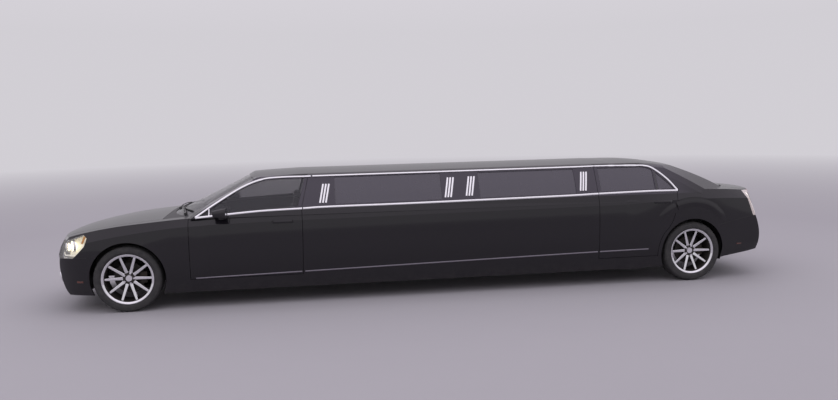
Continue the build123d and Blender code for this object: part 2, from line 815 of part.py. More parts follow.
with BuildPart() as front_structure:
    add(block(firewall_x - firewall, firewall_x, -cabin_y, cabin_y, floor_bottom, 1100))
    add(tunnel, mode=Mode.SUBTRACT)
    for side in (-1, 1):
        inner, outer = sorted((side * apron_in, side * apron_out))
        add(block(radiator_x, firewall_x - firewall, inner, outer, apron_bottom, apron_top))
        add(block(radiator_x - 110, radiator_x, inner - 20, outer + 20, 440, 540))
    add(block(radiator_x - sheet, radiator_x, -600, 600, 250, apron_top - 5))
    add(block(radiator_x - 140, radiator_x - 100, -600, 600, 440, 540))
    add(lower_inner, mode=Mode.INTERSECT)
write(front_structure.part, "front_structure")

# Wheelhouse liners, with the boot's side trim behind the rear ones
with BuildPart() as wheelhouse_liners:
    ring = minus(
        cross_cylinder(front_axle_x, tyre_radius, well_radius + liner, -half_width, -front_well_depth),
        cross_cylinder(front_axle_x, tyre_radius, well_radius, -long, 0),
    )
    add(ring)
    inner_wall = cross_cylinder(
        front_axle_x, tyre_radius, well_radius + liner, -front_well_depth, -apron_out
    )
    add(within(inner_wall, block(-long, 0, -far, 0, 620, 1000)))
    rear_ring = minus(
        cross_cylinder(rear_axle_x, tyre_radius, rear_well_radius + liner, -half_width, -rear_well_depth),
        cross_cylinder(rear_axle_x, tyre_radius, rear_well_radius, -long, 0),
        block(0, cabin_back, -far, -cabin_y, 0, 1000),
    )
    add(rear_ring)
    add(block(floor_end, long, -rear_well_depth, -rear_well_depth + liner, rear_floor_bottom, shelf_z))
    add(within(lower_inner, block(-long, long, -far, 0, 230, 1100)), mode=Mode.INTERSECT)
    mirror(about=Plane.XZ)
write(wheelhouse_liners.part, "wheelhouse_liners")

with BuildPart() as engine:
    add(block(front_axle_x - 430, front_axle_x + 280, -300, 300, tunnel_top, apron_top))
    add(block(front_axle_x + 280, firewall_x - firewall, -110, 110, 225, 480))
    add(block(front_axle_x - 90, front_axle_x + 10, -apron_in, apron_in, 420, 480))
write(engine.part, "engine")

# Front suspension, fixed, with the kingpins that carry the knuckles
axle_z = tyre_radius
kingpin_radius = 15
upper_pin_radius = 12
pin_play = 0.05
lower_arm = (190, 228)
lower_pin_top = 275
upper_arm = (545, 567)
upper_pin_bottom = 515


def wishbone(x, base_y, base_half, tip_half, z0, z1):
    """A tapering arm from the frame out to the left kingpin."""
    with BuildPart() as arm:
        with BuildSketch(Plane.XY.offset(z0)):
            with BuildLine():
                Polyline(
                    (x - base_half, -base_y), (x + base_half, -base_y), (x + tip_half, -kingpin_y),
                    (x - tip_half, -kingpin_y), (x - base_half, -base_y),
                )
            make_face()
            with Locations((x, -kingpin_y)):
                Circle(tip_half)
        extrude(amount=z1 - z0)
    return arm.part


def upright_cylinder(x, y, radius, z0, z1):
    with BuildPart() as body:
        with BuildSketch(Plane.XY.offset(z0)):
            with Locations((x, y)):
                Circle(radius)
        extrude(amount=z1 - z0)
    return body.part


with BuildPart() as upper_link:
    add(wishbone(front_axle_x, apron_out, 150, 28, *upper_arm))
    add(upright_cylinder(front_axle_x, -kingpin_y, upper_pin_radius, upper_pin_bottom, upper_arm[0]))
    mirror(about=Plane.XZ)

with BuildPart() as front_subframe:
    add(wishbone(front_axle_x, apron_out - 30, 200, 30, *lower_arm))
    add(upright_cylinder(front_axle_x, -kingpin_y, kingpin_radius, lower_arm[0], lower_pin_top))
    add(block(front_axle_x - 200, front_axle_x + 200, -apron_out, 0, *lower_arm))
    foot = (front_axle_x - 80, front_axle_x + 80, -apron_out, -apron_out + 30)
    add(block(*foot, lower_arm[0], apron_bottom))
    add(cross_cylinder(front_axle_x + 150, lower_arm[1] + 24, 28, -apron_out + 60, 0))
    mirror(about=Plane.XZ)
    add(upper_link.part)
write(front_subframe.part, "front_subframe")

# Wheels. Each left wheel is drawn about its own centre: rel is the distance outwards from it.
spindle_radius = 28
bearing_play = 0.05
hub_radius = 60
disc_radius = 165
disc_in, disc_out = -40, -12
cap_in, cap_out = 40, 54
wheel_gap = 5
knuckle_face = disc_in - wheel_gap
spindle_tip = cap_in - wheel_gap
barrel_radius = 247
spokes = 10
lugs = 5
lug_circle = 57.5
tyre_seat = 256
tyre_foot = 18.5


def at_wheel(x, rel, side=-1):
    """The plane across a left wheel, rel outwards from its centre, looking outwards."""
    return Plane(origin=(x, side * (wheel_y + rel), axle_z), x_dir=(1, 0, 0), z_dir=(0, side, 0))


def turned(x, profile):
    """A ring about a left wheel's axle, from corners given as (radius, rel)."""
    with BuildPart() as ring:
        with BuildSketch(Plane(origin=(x, -wheel_y, axle_z), x_dir=(1, 0, 0), z_dir=(0, 0, 1))):
            with BuildLine():
                Polyline(*[(radius, -rel) for radius, rel in profile], close=True)
            make_face()
        revolve(axis=Axis((x, -wheel_y, axle_z), (0, 1, 0)))
    return ring.part


def wheel_disc(x, radius, rel0, rel1):
    with BuildPart() as body:
        with BuildSketch(at_wheel(x, rel0)):
            Circle(radius)
        extrude(amount=rel1 - rel0)
    return body.part


def wheel_spoke(x):
    """The spoke that points along +X; its sections are given as (radius, rel, breadth, depth)."""
    with BuildPart() as spoke:
        for radius, rel, breadth, depth in ((60, 33, 36, 28), (barrel_radius + 4, 64, 27, 26)):
            face = Plane(origin=(x + radius, -wheel_y - rel, axle_z), x_dir=(0, 1, 0), z_dir=(1, 0, 0))
            with BuildSketch(face):
                RectangleRounded(depth, breadth, 6)
        loft()
    return spoke.part


def wheel_rim(x):
    """Rim, spokes, hub and brake disc in one piece, with the bore for the spindle."""
    lip, seat_edge = rim_depth / 2, tyre_width / 2 - tyre_foot
    with BuildPart() as rim:
        add(turned(x, [
            (rim_radius, lip), (rim_radius, lip - 7), (tyre_seat, seat_edge), (tyre_seat, -seat_edge),
            (rim_radius - 3, 7 - lip), (rim_radius - 3, -lip), (barrel_radius, -lip), (barrel_radius, 82),
            (barrel_radius + 5, lip - 10), (rim_radius - 7, lip),
        ]))
        add(wheel_disc(x, 75, 18, 46))
        add(wheel_disc(x, 33, cap_in, cap_out))
        add(wheel_disc(x, hub_radius, disc_in, 20))
        add(wheel_disc(x, disc_radius, disc_in, disc_out))
        with BuildSketch(at_wheel(x, cap_in)):
            with PolarLocations(lug_circle, lugs):
                Circle(11)
        extrude(amount=18)
        spoke = wheel_spoke(x)
        for i in range(spokes):
            add(spoke.rotate(Axis((x, -wheel_y, axle_z), (0, 1, 0)), 360 / spokes * i))
        add(wheel_disc(x, spindle_radius + bearing_play, disc_in, cap_in), mode=Mode.SUBTRACT)
    return rim.part


def wheel_tyre(x):
    """A tyre: its bead, bulging walls, rounded shoulders and slightly crowned tread."""
    seat, wall = tyre_seat + seat_clearance, tyre_width / 2
    bead_out, bulge, shoulder_in, shoulder = rim_radius + 2, 318, 350, 357
    tread_edge = tyre_radius - 3.5
    with BuildPart() as tyre:
        with BuildSketch(Plane(origin=(x, -wheel_y, axle_z), x_dir=(1, 0, 0), z_dir=(0, 0, 1))):
            with BuildLine():
                Line((seat, -wall + 19), (seat, wall - 19))
                ThreePointArc((tread_edge, wall - 28), (tyre_radius, 0), (tread_edge, 28 - wall))
                for side in (1, -1):
                    bead = (bead_out, side * (wall - 17))
                    rise, edge = (shoulder_in, side * (wall - 11)), (tread_edge, side * (wall - 28))
                    Line((seat, side * (wall - 19)), bead)
                    ThreePointArc(bead, (bulge, side * wall), rise)
                    ThreePointArc(rise, (shoulder, side * (wall - 17)), edge)
            make_face()
        revolve(axis=Axis((x, -wheel_y, axle_z), (0, 1, 0)))
    return tyre.part


for end, axle_x in (("front", front_axle_x), ("rear", rear_axle_x)):
    rim = wheel_rim(axle_x)
    write(rim, f"rim_{end}_left")
    write_twin(rim, f"rim_{end}_right")
    tyre = wheel_tyre(axle_x)
    write(tyre, f"tyre_{end}_left")
    write_twin(tyre, f"tyre_{end}_right")


def carrier(x, y_in):
    """Upright, flange and spindle behind a left wheel, with its brake caliper."""
    with BuildPart() as body:
        arm_bottom = lower_arm[1] + seat_clearance
        add(block(x - 40, x + 40, -wheel_y - disc_in + 25, y_in, arm_bottom, upper_arm[0]))
        add(wheel_disc(x, 70, knuckle_face - 20, knuckle_face))
        add(wheel_disc(x, spindle_radius, knuckle_face - 5, spindle_tip))
        add(block(x + 115, x + 185, -wheel_y - 11, -wheel_y + 70, axle_z - 60, axle_z + 60))
        slot_out, slot_in = -wheel_y - disc_out - wheel_gap, -wheel_y - disc_in + wheel_gap
        slot = block(x + 100, x + disc_radius + wheel_gap, slot_out, slot_in, 0, 1000)
        add(slot, mode=Mode.SUBTRACT)
        add(block(x, x + 120, -wheel_y - knuckle_face + 5, -wheel_y + 70, axle_z - 30, axle_z + 30))
    return body.part


with BuildPart() as knuckle_left:
    add(carrier(front_axle_x, -kingpin_y + 25))
    for radius, z0, z1 in (
        (kingpin_radius, 0, lower_pin_top + 5), (upper_pin_radius, upper_pin_bottom - 5, upper_arm[0]),
    ):
        add(upright_cylinder(front_axle_x, -kingpin_y, radius + pin_play, z0, z1), mode=Mode.SUBTRACT)
write(knuckle_left.part, "knuckle_left")
write_twin(knuckle_left.part, "knuckle_right")

# Rear axle: subframe, differential, half shafts and the carriers with the rear wheels' spindles
beam_z = (290, 330)
with BuildPart() as rear_carrier:
    add(carrier(rear_axle_x, -kingpin_y + 25))
    for z0, z1 in ((0, beam_z[0] - 10), (450, 600)):
        spare = block(rear_axle_x - 40, rear_axle_x + 40, -wheel_y, -wheel_y + 240, z0, z1)
        add(spare, mode=Mode.SUBTRACT)

with BuildPart() as rear_subframe:
    add(rear_carrier.part)
    add(block(rear_axle_x - 35, rear_axle_x + 35, -kingpin_y, 0, *beam_z))
    add(cross_cylinder(rear_axle_x, axle_z, 20, -kingpin_y, 0))
    add(block(rear_axle_x - 110, rear_axle_x + 110, -110, 0, beam_z[0] - 5, rear_floor_bottom))
    for x in (rear_axle_x - 128, rear_axle_x + 88):
        add(block(x, x + 40, -480, 0, *beam_z))
        add(block(x, x + 40, -480, -440, beam_z[0], rear_floor_bottom))
    add(block(rear_axle_x - 128, rear_axle_x + 128, -480, -440, *beam_z))
    mirror(about=Plane.XZ)
write(rear_subframe.part, "rear_subframe")


def long_cylinder(y, z, radius, x0, x1):
    with BuildPart() as body:
        with BuildSketch(Plane.YZ.offset(x0)):
            with Locations((y, z)):
                Circle(radius)
        extrude(amount=x1 - x0)
    return body.part


muffler = (rear_axle_x + 462, rear_axle_x + 882)
muffler_z = (245, 385)
tail_pipe_z = 290
with BuildPart() as propshaft_and_exhaust:
    add(long_cylinder(0, 255, 32, firewall_x - firewall, rear_axle_x - 110))
    add(long_cylinder(-82, 250, 25, firewall_x - firewall, muffler[0]))
    add(block(*muffler, -400, 400, *muffler_z))
    fillet(propshaft_and_exhaust.edges().filter_by(Axis.X), 50)
    for y in (-300, 260):
        add(block(muffler[0] + 180, muffler[0] + 220, y, y + 40, muffler_z[1] - 5, rear_floor_bottom))
    for y in (-350, 350):
        add(long_cylinder(y, tail_pipe_z, 30, muffler[1] - 5, muffler[1] + 150))
        add(long_cylinder(y, tail_pipe_z, 26, muffler[1] + 50, muffler[1] + 150), mode=Mode.SUBTRACT)
write(propshaft_and_exhaust.part, "propshaft_and_exhaust")

with BuildPart() as fuel_tank:
    add(block(heel_x + sheet, rear_axle_x - 200, -520, 520, floor_top, rear_floor_bottom))
    fillet(fuel_tank.edges().filter_by(Axis.Y).group_by(Axis.Z)[0], 40)
    add(block(heel_x, rear_axle_x, -tunnel_half, tunnel_half, 0, tunnel_top), mode=Mode.SUBTRACT)
write(fuel_tank.part, "fuel_tank")

# Door mirrors, joined to the front doors
mirror_x = front_axle_x + 1000
with BuildPart() as mirror_left:
    with BuildSketch(Plane.YZ.offset(mirror_x + 82)):
        with Locations((-1022, 1058)):
            RectangleRounded(178, 118, 46)
    with BuildSketch(Plane.YZ.offset(mirror_x - 60)):
        with Locations((-1014, 1054)):
            RectangleRounded(110, 70, 33)
    loft()
    with BuildSketch(Plane.YZ.offset(mirror_x + 82)):
        with Locations((-1022, 1058)):
            RectangleRounded(160, 100, 40)
    extrude(amount=-6, mode=Mode.SUBTRACT)
    add(block(mirror_x - 5, mirror_x + 50, -970, -800, 985, 1020))
    add(lower, mode=Mode.SUBTRACT)
    add(glasshouse_outer, mode=Mode.SUBTRACT)
write(mirror_left.part, "mirror_left")
write_twin(mirror_left.part, "mirror_right")

# Cabin: dashboard, steering wheel, seats, partition, lounge bench and bar cabinet
column_tilt = 24
driver_y = -390
wheel_hub_x = front_axle_x + 1110
wheel_hub_z = 895
column = Plane(
    origin=(wheel_hub_x, driver_y, wheel_hub_z),
    x_dir=(sin(radians(column_tilt)), 0, -cos(radians(column_tilt))),
    z_dir=(cos(radians(column_tilt)), 0, sin(radians(column_tilt))),
)
with BuildPart() as dashboard:
    with BuildSketch(Plane.XZ.offset(cabin_y - 25)):
        with BuildLine():
            Polyline(
                (firewall_x, 560), (firewall_x, 945), (front_axle_x + 835, 945), (front_axle_x + 835, 985),
                (front_axle_x + 900, 975), (front_axle_x + 950, 890), (front_axle_x + 920, 700),
                (front_axle_x + 870, 560), close=True,
            )
        make_face()
    extrude(amount=-2 * (cabin_y - 25))
    add(block(firewall_x, firewall_x + 60, -120, 120, tunnel_top, 560))
    with BuildSketch(column.offset(-60 - seat_clearance)):
        Circle(34)
    extrude(amount=-200)
write(dashboard.part, "dashboard")

with BuildPart() as steering_wheel:
    with BuildSketch(Plane(origin=column.origin, x_dir=column.z_dir, z_dir=column.y_dir)):
        with Locations((0, 178)):
            Circle(15)
    revolve(axis=Axis(column.origin, column.z_dir))
    with BuildSketch(column.offset(-14)):
        Circle(55)
        with PolarLocations(0, 3):
            with Locations((88, 0)):
                Rectangle(176, 34)
    extrude(amount=16)
    with BuildSketch(column.offset(-60)):
        Circle(30)
    extrude(amount=50)
write(steering_wheel.part, "steering_wheel")


def seat_profile(front_x, back_x, half, y, z_floor, z_seat, z_top, lean):
    """A seat with its back, from a side profile carried across by half on each side of y."""
    with BuildPart() as seat:
        with BuildSketch(Plane.XZ.offset(half - y)):
            with BuildLine():
                Polyline(
                    (front_x + 40, z_floor), (front_x, z_seat - 60), (front_x + 10, z_seat),
                    (back_x - 150, z_seat - 30), (back_x - 120 + lean, z_top - 30),
                    (back_x - 90 + lean, z_top), (back_x - 20 + lean, z_top), (back_x + lean, z_top - 30),
                    (back_x, z_seat - 40), (back_x - 60, z_floor), close=True,
                )
            make_face()
        extrude(amount=-2 * half)
    return seat.part


seat_y = 390
with BuildPart() as front_seats:
    add(seat_profile(
        front_axle_x + 1290, front_axle_x + 1780, 250, -seat_y, floor_top + seat_clearance, 520, 1040, 110
    ))
    with BuildSketch(Plane.XY.offset(1035)):
        with Locations((front_axle_x + 1840, -seat_y)):
            RectangleRounded(80, 250, 30)
    extrude(amount=150)
    mirror(about=Plane.XZ)
write(front_seats.part, "front_seats")

partition_x = front_door_back + 185
with BuildPart() as partition:
    add(block(partition_x, partition_x + 30, -cabin_y, cabin_y, floor_top, belt_void))
    add(within(glasshouse_inner, block(partition_x, partition_x + 30, -far, far, belt_void, 2000)))
    add(block(partition_x, partition_x + 30, -500, 500, 960, 1300), mode=Mode.SUBTRACT)
    add(block(partition_x, partition_x + 30, -tunnel_half, tunnel_half, 0, tunnel_top), mode=Mode.SUBTRACT)
write(partition.part, "partition")

bench_x = (partition_x + 350, rear_door_front - 110)
with BuildPart() as side_bench:
    with BuildSketch(Plane.YZ.offset(bench_x[0])):
        with BuildLine():
            Polyline(
                (-cabin_y + 5, floor_top + seat_clearance), (-cabin_y + 5, 980), (-cabin_y + 85, 980),
                (-cabin_y + 155, 640), (-350, 655), (-330, 600), (-380, floor_top + seat_clearance),
                close=True,
            )
        make_face()
    extrude(amount=bench_x[1] - bench_x[0])
write(side_bench.part, "side_bench")

bar_x = (partition_x + 350, rear_door_front - 900)
with BuildPart() as bar_cabinet:
    add(block(*bar_x, 470, cabin_y - 5, floor_top, 800))
    add(block(bar_x[0] + 150, bar_x[1] - 150, 440, 700, 640, 790), mode=Mode.SUBTRACT)
    add(block(bar_x[0] - 15, bar_x[1] + 15, 450, cabin_y - 5, 800, 825))
write(bar_cabinet.part, "bar_cabinet")

with BuildPart() as rear_seat:
    add(seat_profile(
        heel_x + 60, bulkhead_x - 75, 620, 0, rear_floor_top + seat_clearance, 600, 1030, 70
    ))
write(rear_seat.part, "rear_seat")
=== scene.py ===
"""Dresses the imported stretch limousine: finishes, trim, lamps, tyres, cabin and a plain studio."""
import json
import logging
import math
from collections.abc import Callable, Iterable
from dataclasses import dataclass, field
from enum import Enum

import bmesh
import bpy
from mathutils import Matrix, Vector
from mathutils.bvhtree import BVHTree


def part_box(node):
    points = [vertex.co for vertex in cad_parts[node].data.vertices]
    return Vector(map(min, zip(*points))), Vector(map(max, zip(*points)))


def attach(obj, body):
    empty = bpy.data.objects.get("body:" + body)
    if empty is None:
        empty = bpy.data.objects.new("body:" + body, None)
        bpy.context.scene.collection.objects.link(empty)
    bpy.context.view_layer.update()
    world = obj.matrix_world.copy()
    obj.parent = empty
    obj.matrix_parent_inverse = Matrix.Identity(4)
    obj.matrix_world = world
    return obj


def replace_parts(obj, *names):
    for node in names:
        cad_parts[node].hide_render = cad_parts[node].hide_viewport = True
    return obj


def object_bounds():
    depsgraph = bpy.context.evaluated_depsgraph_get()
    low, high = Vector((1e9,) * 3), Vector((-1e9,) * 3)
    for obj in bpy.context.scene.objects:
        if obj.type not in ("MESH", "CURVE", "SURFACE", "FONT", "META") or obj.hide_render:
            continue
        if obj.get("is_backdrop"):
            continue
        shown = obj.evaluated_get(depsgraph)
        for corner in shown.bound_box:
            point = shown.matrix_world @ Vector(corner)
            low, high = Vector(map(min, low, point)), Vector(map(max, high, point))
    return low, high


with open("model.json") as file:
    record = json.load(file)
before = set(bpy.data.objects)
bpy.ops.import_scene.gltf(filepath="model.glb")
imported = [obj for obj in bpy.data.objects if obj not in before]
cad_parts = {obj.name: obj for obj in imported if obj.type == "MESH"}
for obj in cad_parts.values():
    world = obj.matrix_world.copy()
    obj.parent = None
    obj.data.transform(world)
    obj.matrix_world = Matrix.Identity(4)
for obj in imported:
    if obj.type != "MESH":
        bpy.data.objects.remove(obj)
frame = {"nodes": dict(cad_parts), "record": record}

log = logging.getLogger("limousine")

Colour = tuple[float, float, float]
Point = tuple[float, float, float]
Pair = tuple[float, float]
Spot = tuple[Vector, Vector]

TO_REAR, TO_NOSE, TO_RIGHT = Vector((1, 0, 0)), Vector((-1, 0, 0)), Vector((0, 1, 0))
UP, DOWN = Vector((0, 0, 1)), Vector((0, 0, -1))


class Side(Enum):
    """The two sides of the car, as the sign of Y."""

    LEFT = -1
    RIGHT = 1

    @property
    def word(self) -> str:
        """The side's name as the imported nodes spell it."""
        return self.name.lower()


def operator(operation: str, swapped: bool = False) -> Callable:
    """Make an operator that adds one Math node.

    Args:
        operation: The node's operation.
        swapped: Whether the other operand comes first.

    Returns:
        The operator, as a method of Value.
    """
    def apply(self: "Value", other: object = 0.0) -> "Value":
        """The result of the operation."""
        first, second = (other, self) if swapped else (self, other)
        return self.graph.add("ShaderNodeMath", {0: first, 1: second}, operation=operation)
    return apply


@dataclass(eq=False)
class Value:
    """A shader socket on which Python arithmetic adds Math nodes."""

    graph: "Graph"
    socket: bpy.types.NodeSocket | None

    __add__, __radd__ = operator("ADD"), operator("ADD", True)
    __sub__, __rsub__ = operator("SUBTRACT"), operator("SUBTRACT", True)
    __mul__, __rmul__ = operator("MULTIPLY"), operator("MULTIPLY", True)
    __truediv__, __rtruediv__ = operator("DIVIDE"), operator("DIVIDE", True)
    __gt__, __lt__, greater = operator("GREATER_THAN"), operator("LESS_THAN"), operator("MAXIMUM")
    __abs__, root, sine = operator("ABSOLUTE"), operator("SQRT"), operator("SINE")

    def ramp(self, low: float, high: float) -> "Value":
        """Rise from 0 at low to 1 at high, level outside; a high below low makes it fall."""
        return self.graph.add("ShaderNodeMapRange", {0: self, 1: low, 2: high, 3: 0.0, 4: 1.0}, clamp=True)


class Graph:
    """The node tree of a material or of the world."""

    def __init__(self, holder: bpy.types.Material | bpy.types.World) -> None:
        """Take the holder's tree and empty it.

        Args:
            holder: The material or world to fill.
        """
        holder.use_nodes = True
        self.tree = holder.node_tree
        self.tree.nodes.clear()

    def add(self, kind: str, inputs: dict | None = None, output: int | str = 0, **settings: object) -> Value:
        """Add any node.

        Args:
            kind: The node's type.
            inputs: Values or links by socket name or number.
            output: The socket to return.
            settings: Properties, set before the inputs.

        Returns:
            The chosen output.
        """
        node = self.tree.nodes.new(kind)
        for key, value in settings.items():
            setattr(node, key, value)
        for key, value in (inputs or {}).items():
            socket = node.inputs[key]
            if isinstance(value, Value):
                self.tree.links.new(value.socket, socket)
            elif isinstance(value, tuple) and socket.type == "RGBA":
                socket.default_value = (*value, 1.0)
            else:
                socket.default_value = value
        return Value(self, node.outputs[output] if len(node.outputs) else None)

    def spot(self) -> Value:
        """The point on the resting car as a vector."""
        return self.add("ShaderNodeTexCoord", {}, "Object")

    def axes(self, vector: Value) -> tuple[Value, Value, Value]:
        """The X, Y and Z of a vector."""
        return tuple(self.add("ShaderNodeSeparateXYZ", {0: vector}, axis) for axis in "XYZ")

    def facing(self) -> tuple[Value, Value, Value]:
        """The X, Y and Z of the surface's own normal."""
        return self.axes(self.add("ShaderNodeTexCoord", {}, "Normal"))

    def noise(self, scale: float, detail: float = 3.0, rough: float = 0.55) -> Value:
        """Fractal noise of some features per metre, octaves and strength of the fine octaves."""
        inputs = {"Vector": self.spot(), "Scale": scale, "Detail": detail, "Roughness": rough}
        return self.add("ShaderNodeTexNoise", inputs, "Fac")

    def blend(self, factor: Value, first: object, second: object) -> Value:
        """Mix two colours: factor 0 gives the first, 1 the second."""
        return self.add("ShaderNodeMix", {0: factor, 6: first, 7: second}, 2, data_type="RGBA")

    def mix(self, factor: Value, first: Value, second: Value) -> Value:
        """Mix two surfaces: factor 0 gives the first, 1 the second."""
        return self.add("ShaderNodeMixShader", {0: factor, 1: first, 2: second})

    def bump(self, height: Value, distance: float, strength: float = 1.0) -> Value:
        """Turn a height from 0 to 1 into a normal; distance is what 1 stands for, in metres."""
        inputs = {"Height": height, "Distance": distance, "Strength": strength}
        return self.add("ShaderNodeBump", inputs, "Normal")

    def shader(self, **inputs: object) -> Value:
        """A principled surface; spaces in socket names are written as underscores."""
        return self.add("ShaderNodeBsdfPrincipled", {key.replace("_", " "): v for key, v in inputs.items()})


class Finish:
    """A finish that makes its material once."""

    name: str
    _made: dict = {}

    def material(self) -> bpy.types.Material:
        """The finish's material, made at its first use."""
        if self not in Finish._made:
            made = Finish._made[self] = bpy.data.materials.new(self.name)
            graph = Graph(made)
            graph.add("ShaderNodeOutputMaterial", {"Surface": self.build(graph)})
        return Finish._made[self]

    def build(self, graph: Graph) -> Value:
        """Fill a graph.

        Args:
            graph: The empty graph.

        Returns:
            The surface.
        """
        raise NotImplementedError


@dataclass(frozen=True)
class Paint(Finish):
    """Gloss black coachwork with a clear coat and road dust low down."""

    name: str = "gloss_black_paint"
    base: Colour = (0.003, 0.0021, 0.0042)
    fleck: Colour = (0.005, 0.0036, 0.0068)
    dust: Colour = (0.06, 0.055, 0.052)
    dust_band: Pair = (0.34, 0.16)
    pillar: Colour = (0.034, 0.029, 0.042)
    pillar_band: Pair = (1.085, 1.428)
    pillar_y: float = 0.6
    pillar_fade: Pair = (3.35, 2.75)
    trim: Colour = (0.035, 0.033, 0.034)
    trim_worn: Colour = (0.055, 0.052, 0.053)
    level: Pair = (0.45, 0.95)
    calm: float = 0.75
    lined: bool = False

    def build(self, graph: Graph) -> Value:
        """Paint outside; with lined set, grained trim on the faces towards the cabin."""
        x, y, z = graph.axes(graph.spot())
        colour = graph.blend(graph.noise(1400.0, 1.0).ramp(0.42, 0.75) * 0.6, self.base, self.fleck)
        if self.lined:
            band = (z > self.pillar_band[0]) * (z < self.pillar_band[1]) * (abs(y) > self.pillar_y)
            colour = graph.blend(band * x.ramp(*self.pillar_fade), colour, self.pillar)
        dirt = z.ramp(*self.dust_band) * graph.noise(9.0, 6.0, 0.7).ramp(0.38, 0.72) * 0.3
        _, across, up = graph.facing()
        # The clear coat thins on faces that look up: painted shade that darkens the reflection on the hood
        # and roof, not a change in the paint.
        paint = graph.shader(
            Base_Color=graph.blend(dirt, colour, self.dust), Metallic=0.0, Roughness=dirt * 0.5 + 0.3,
            Coat_Weight=(1.0 - dirt) * (1.0 - up.ramp(*self.level) * self.calm), Coat_Roughness=0.03,
            Coat_IOR=1.45, Specular_IOR_Level=0.16, Normal=graph.bump(graph.noise(420.0, 2.0), 0.00004, 0.5))
        if not self.lined:
            return paint
        outward = across * (y / (abs(y) + 0.001))
        inside = (outward < -0.35).greater((up < -0.6) * (z > 1.1))
        grain = graph.noise(900.0)
        trim = graph.shader(Base_Color=graph.blend(grain, self.trim, self.trim_worn), Roughness=0.62,
                            Normal=graph.bump(grain, 0.0004, 0.7))
        return graph.mix(inside, paint, trim)


@dataclass(frozen=True)
class Polished(Finish):
    """Chrome or another bright metal with faint haze and road film."""

    name: str = "chrome"
    base: Colour = (0.86, 0.86, 0.88)
    film: Colour = (0.32, 0.3, 0.28)
    rough: float = 0.05
    dirty: float = 0.25
    haze_top: float = 0.8

    def build(self, graph: Graph) -> Value:
        """Bright metal whose haze follows noise."""
        haze = graph.noise(26.0, 5.0, 0.65).ramp(0.45, self.haze_top) * self.dirty
        return graph.shader(Base_Color=graph.blend(haze, self.base, self.film), Metallic=1.0,
                            Roughness=haze * 0.5 + self.rough,
                            Normal=graph.bump(graph.noise(700.0, 2.0), 0.00003, 0.4))


@dataclass(frozen=True)
class WheelMetal(Finish):
    """Chrome on a wheel's spokes and lip; behind them, in the barrel and in the hub's well, a dark mottled
    colour that is painted shade.
    """

    front_x: float
    rear_x: float
    axle_z: float
    wheel_y: float
    name: str = "wheel_chrome"
    chrome: Polished = Polished("spokes", (0.88, 0.88, 0.9), (0.34, 0.33, 0.32), 0.06, 0.22, 0.85)
    iron: Colour = (0.022, 0.021, 0.02)
    rust: Colour = (0.04, 0.034, 0.03)
    barrel: Pair = (0.228, 0.262)
    behind: float = 0.024
    hub: Pair = (0.034, 0.072)
    hub_face: float = 0.0475

    def build(self, graph: Graph) -> Value:
        """Choose chrome by the place on the wheel, and painted shade in its hollows and behind its face."""
        x, y, z = graph.axes(graph.spot())
        along = x - (x > 0.0) * self.rear_x - (x < 0.0) * self.front_x
        up = z - self.axle_z
        radius = (along * along + up * up).root()
        across = graph.facing()[1]
        # The barrel, the hub's well and all behind the face take the dark colour: painted shade.
        hollow = (abs(across) < 0.45) * (radius > self.barrel[0]) * (radius < self.barrel[1])
        well = (abs(y) < self.wheel_y + self.hub_face) * (radius > self.hub[0]) * (radius < self.hub[1])
        bright = (abs(y) > self.wheel_y + self.behind) * (1.0 - hollow) * (1.0 - well)
        rust = graph.noise(40.0, 4.0)
        iron = graph.shader(Base_Color=graph.blend(rust, self.iron, self.rust), Metallic=0.3,
                            Roughness=rust * 0.2 + 0.6)
        return graph.mix(bright, iron, self.chrome.build(graph))


@dataclass(frozen=True)
class Grained(Finish):
    """Moulded or cast matt surface with two tones and a fine grain."""

    name: str
    base: Colour
    worn: Colour
    rough: float = 0.6
    metal: float = 0.0
    scale: float = 320.0
    depth: float = 0.0004
    coat: float = 0.0

    def build(self, graph: Graph) -> Value:
        """Broad patches for the colour, fine grain for the bump."""
        patches = graph.noise(7.0, 5.0, 0.65)
        return graph.shader(
            Base_Color=graph.blend(patches.ramp(0.35, 0.75), self.base, self.worn), Metallic=self.metal,
            Roughness=patches * 0.2 + (self.rough - 0.1), Coat_Weight=self.coat,
            Normal=graph.bump(graph.noise(self.scale), self.depth, 0.7))


@dataclass(frozen=True)
class Pane(Finish):
    """Window glass or a lamp's lens."""

    name: str = "tinted_glass"
    tint: Colour = (0.046, 0.041, 0.057)
    alpha: float = 0.93
    rough: float = 0.02
    glow: Colour = (0.0, 0.0, 0.0)
    strength: float = 0.0
    ribs: float = 0.0
    edge: Colour | None = None
    edge_turn: float = 0.62

    def build(self, graph: Graph) -> Value:
        """Glossy sheet that lets part of the light through."""
        film = graph.noise(5.0, 4.0).ramp(0.4, 0.9) * 0.03
        colour = self.tint
        # Faces turned to the side take the edge colour: a painted reflection along the lens's wrap.
        if self.edge:
            colour = graph.blend(abs(graph.facing()[1]) > self.edge_turn, self.tint, self.edge)
        inputs = dict(Base_Color=colour, Alpha=film + self.alpha, Roughness=film + self.rough,
                      Specular_IOR_Level=0.6, IOR=1.5, Coat_Weight=0.6, Coat_Roughness=0.01)
        if self.strength:
            inputs.update(Emission_Color=self.glow, Emission_Strength=self.strength)
        if self.ribs:
            x, y, _ = graph.axes(graph.spot())
            inputs["Normal"] = graph.bump(((x + y) * self.ribs).sine() * 0.5 + 0.5, 0.0008, 0.6)
        return graph.shader(**inputs)


@dataclass(frozen=True)
class Lit(Finish):
    """A lit bulb or reflector."""

    name: str = "lit_bulb"
    glow: Colour = (1.0, 0.86, 0.55)
    strength: float = 6.0
    base: Colour = (0.9, 0.9, 0.85)
    dim: Colour = (0.35, 0.28, 0.15)

    def build(self, graph: Graph) -> Value:
        """Emission that is patchy, as a bowl of facets is."""
        spots = graph.noise(60.0, 2.0).ramp(0.25, 0.75)
        return graph.shader(Base_Color=self.base, Roughness=spots * 0.2 + 0.1,
                            Emission_Color=graph.blend(spots, self.dim, self.glow),
                            Emission_Strength=self.strength)


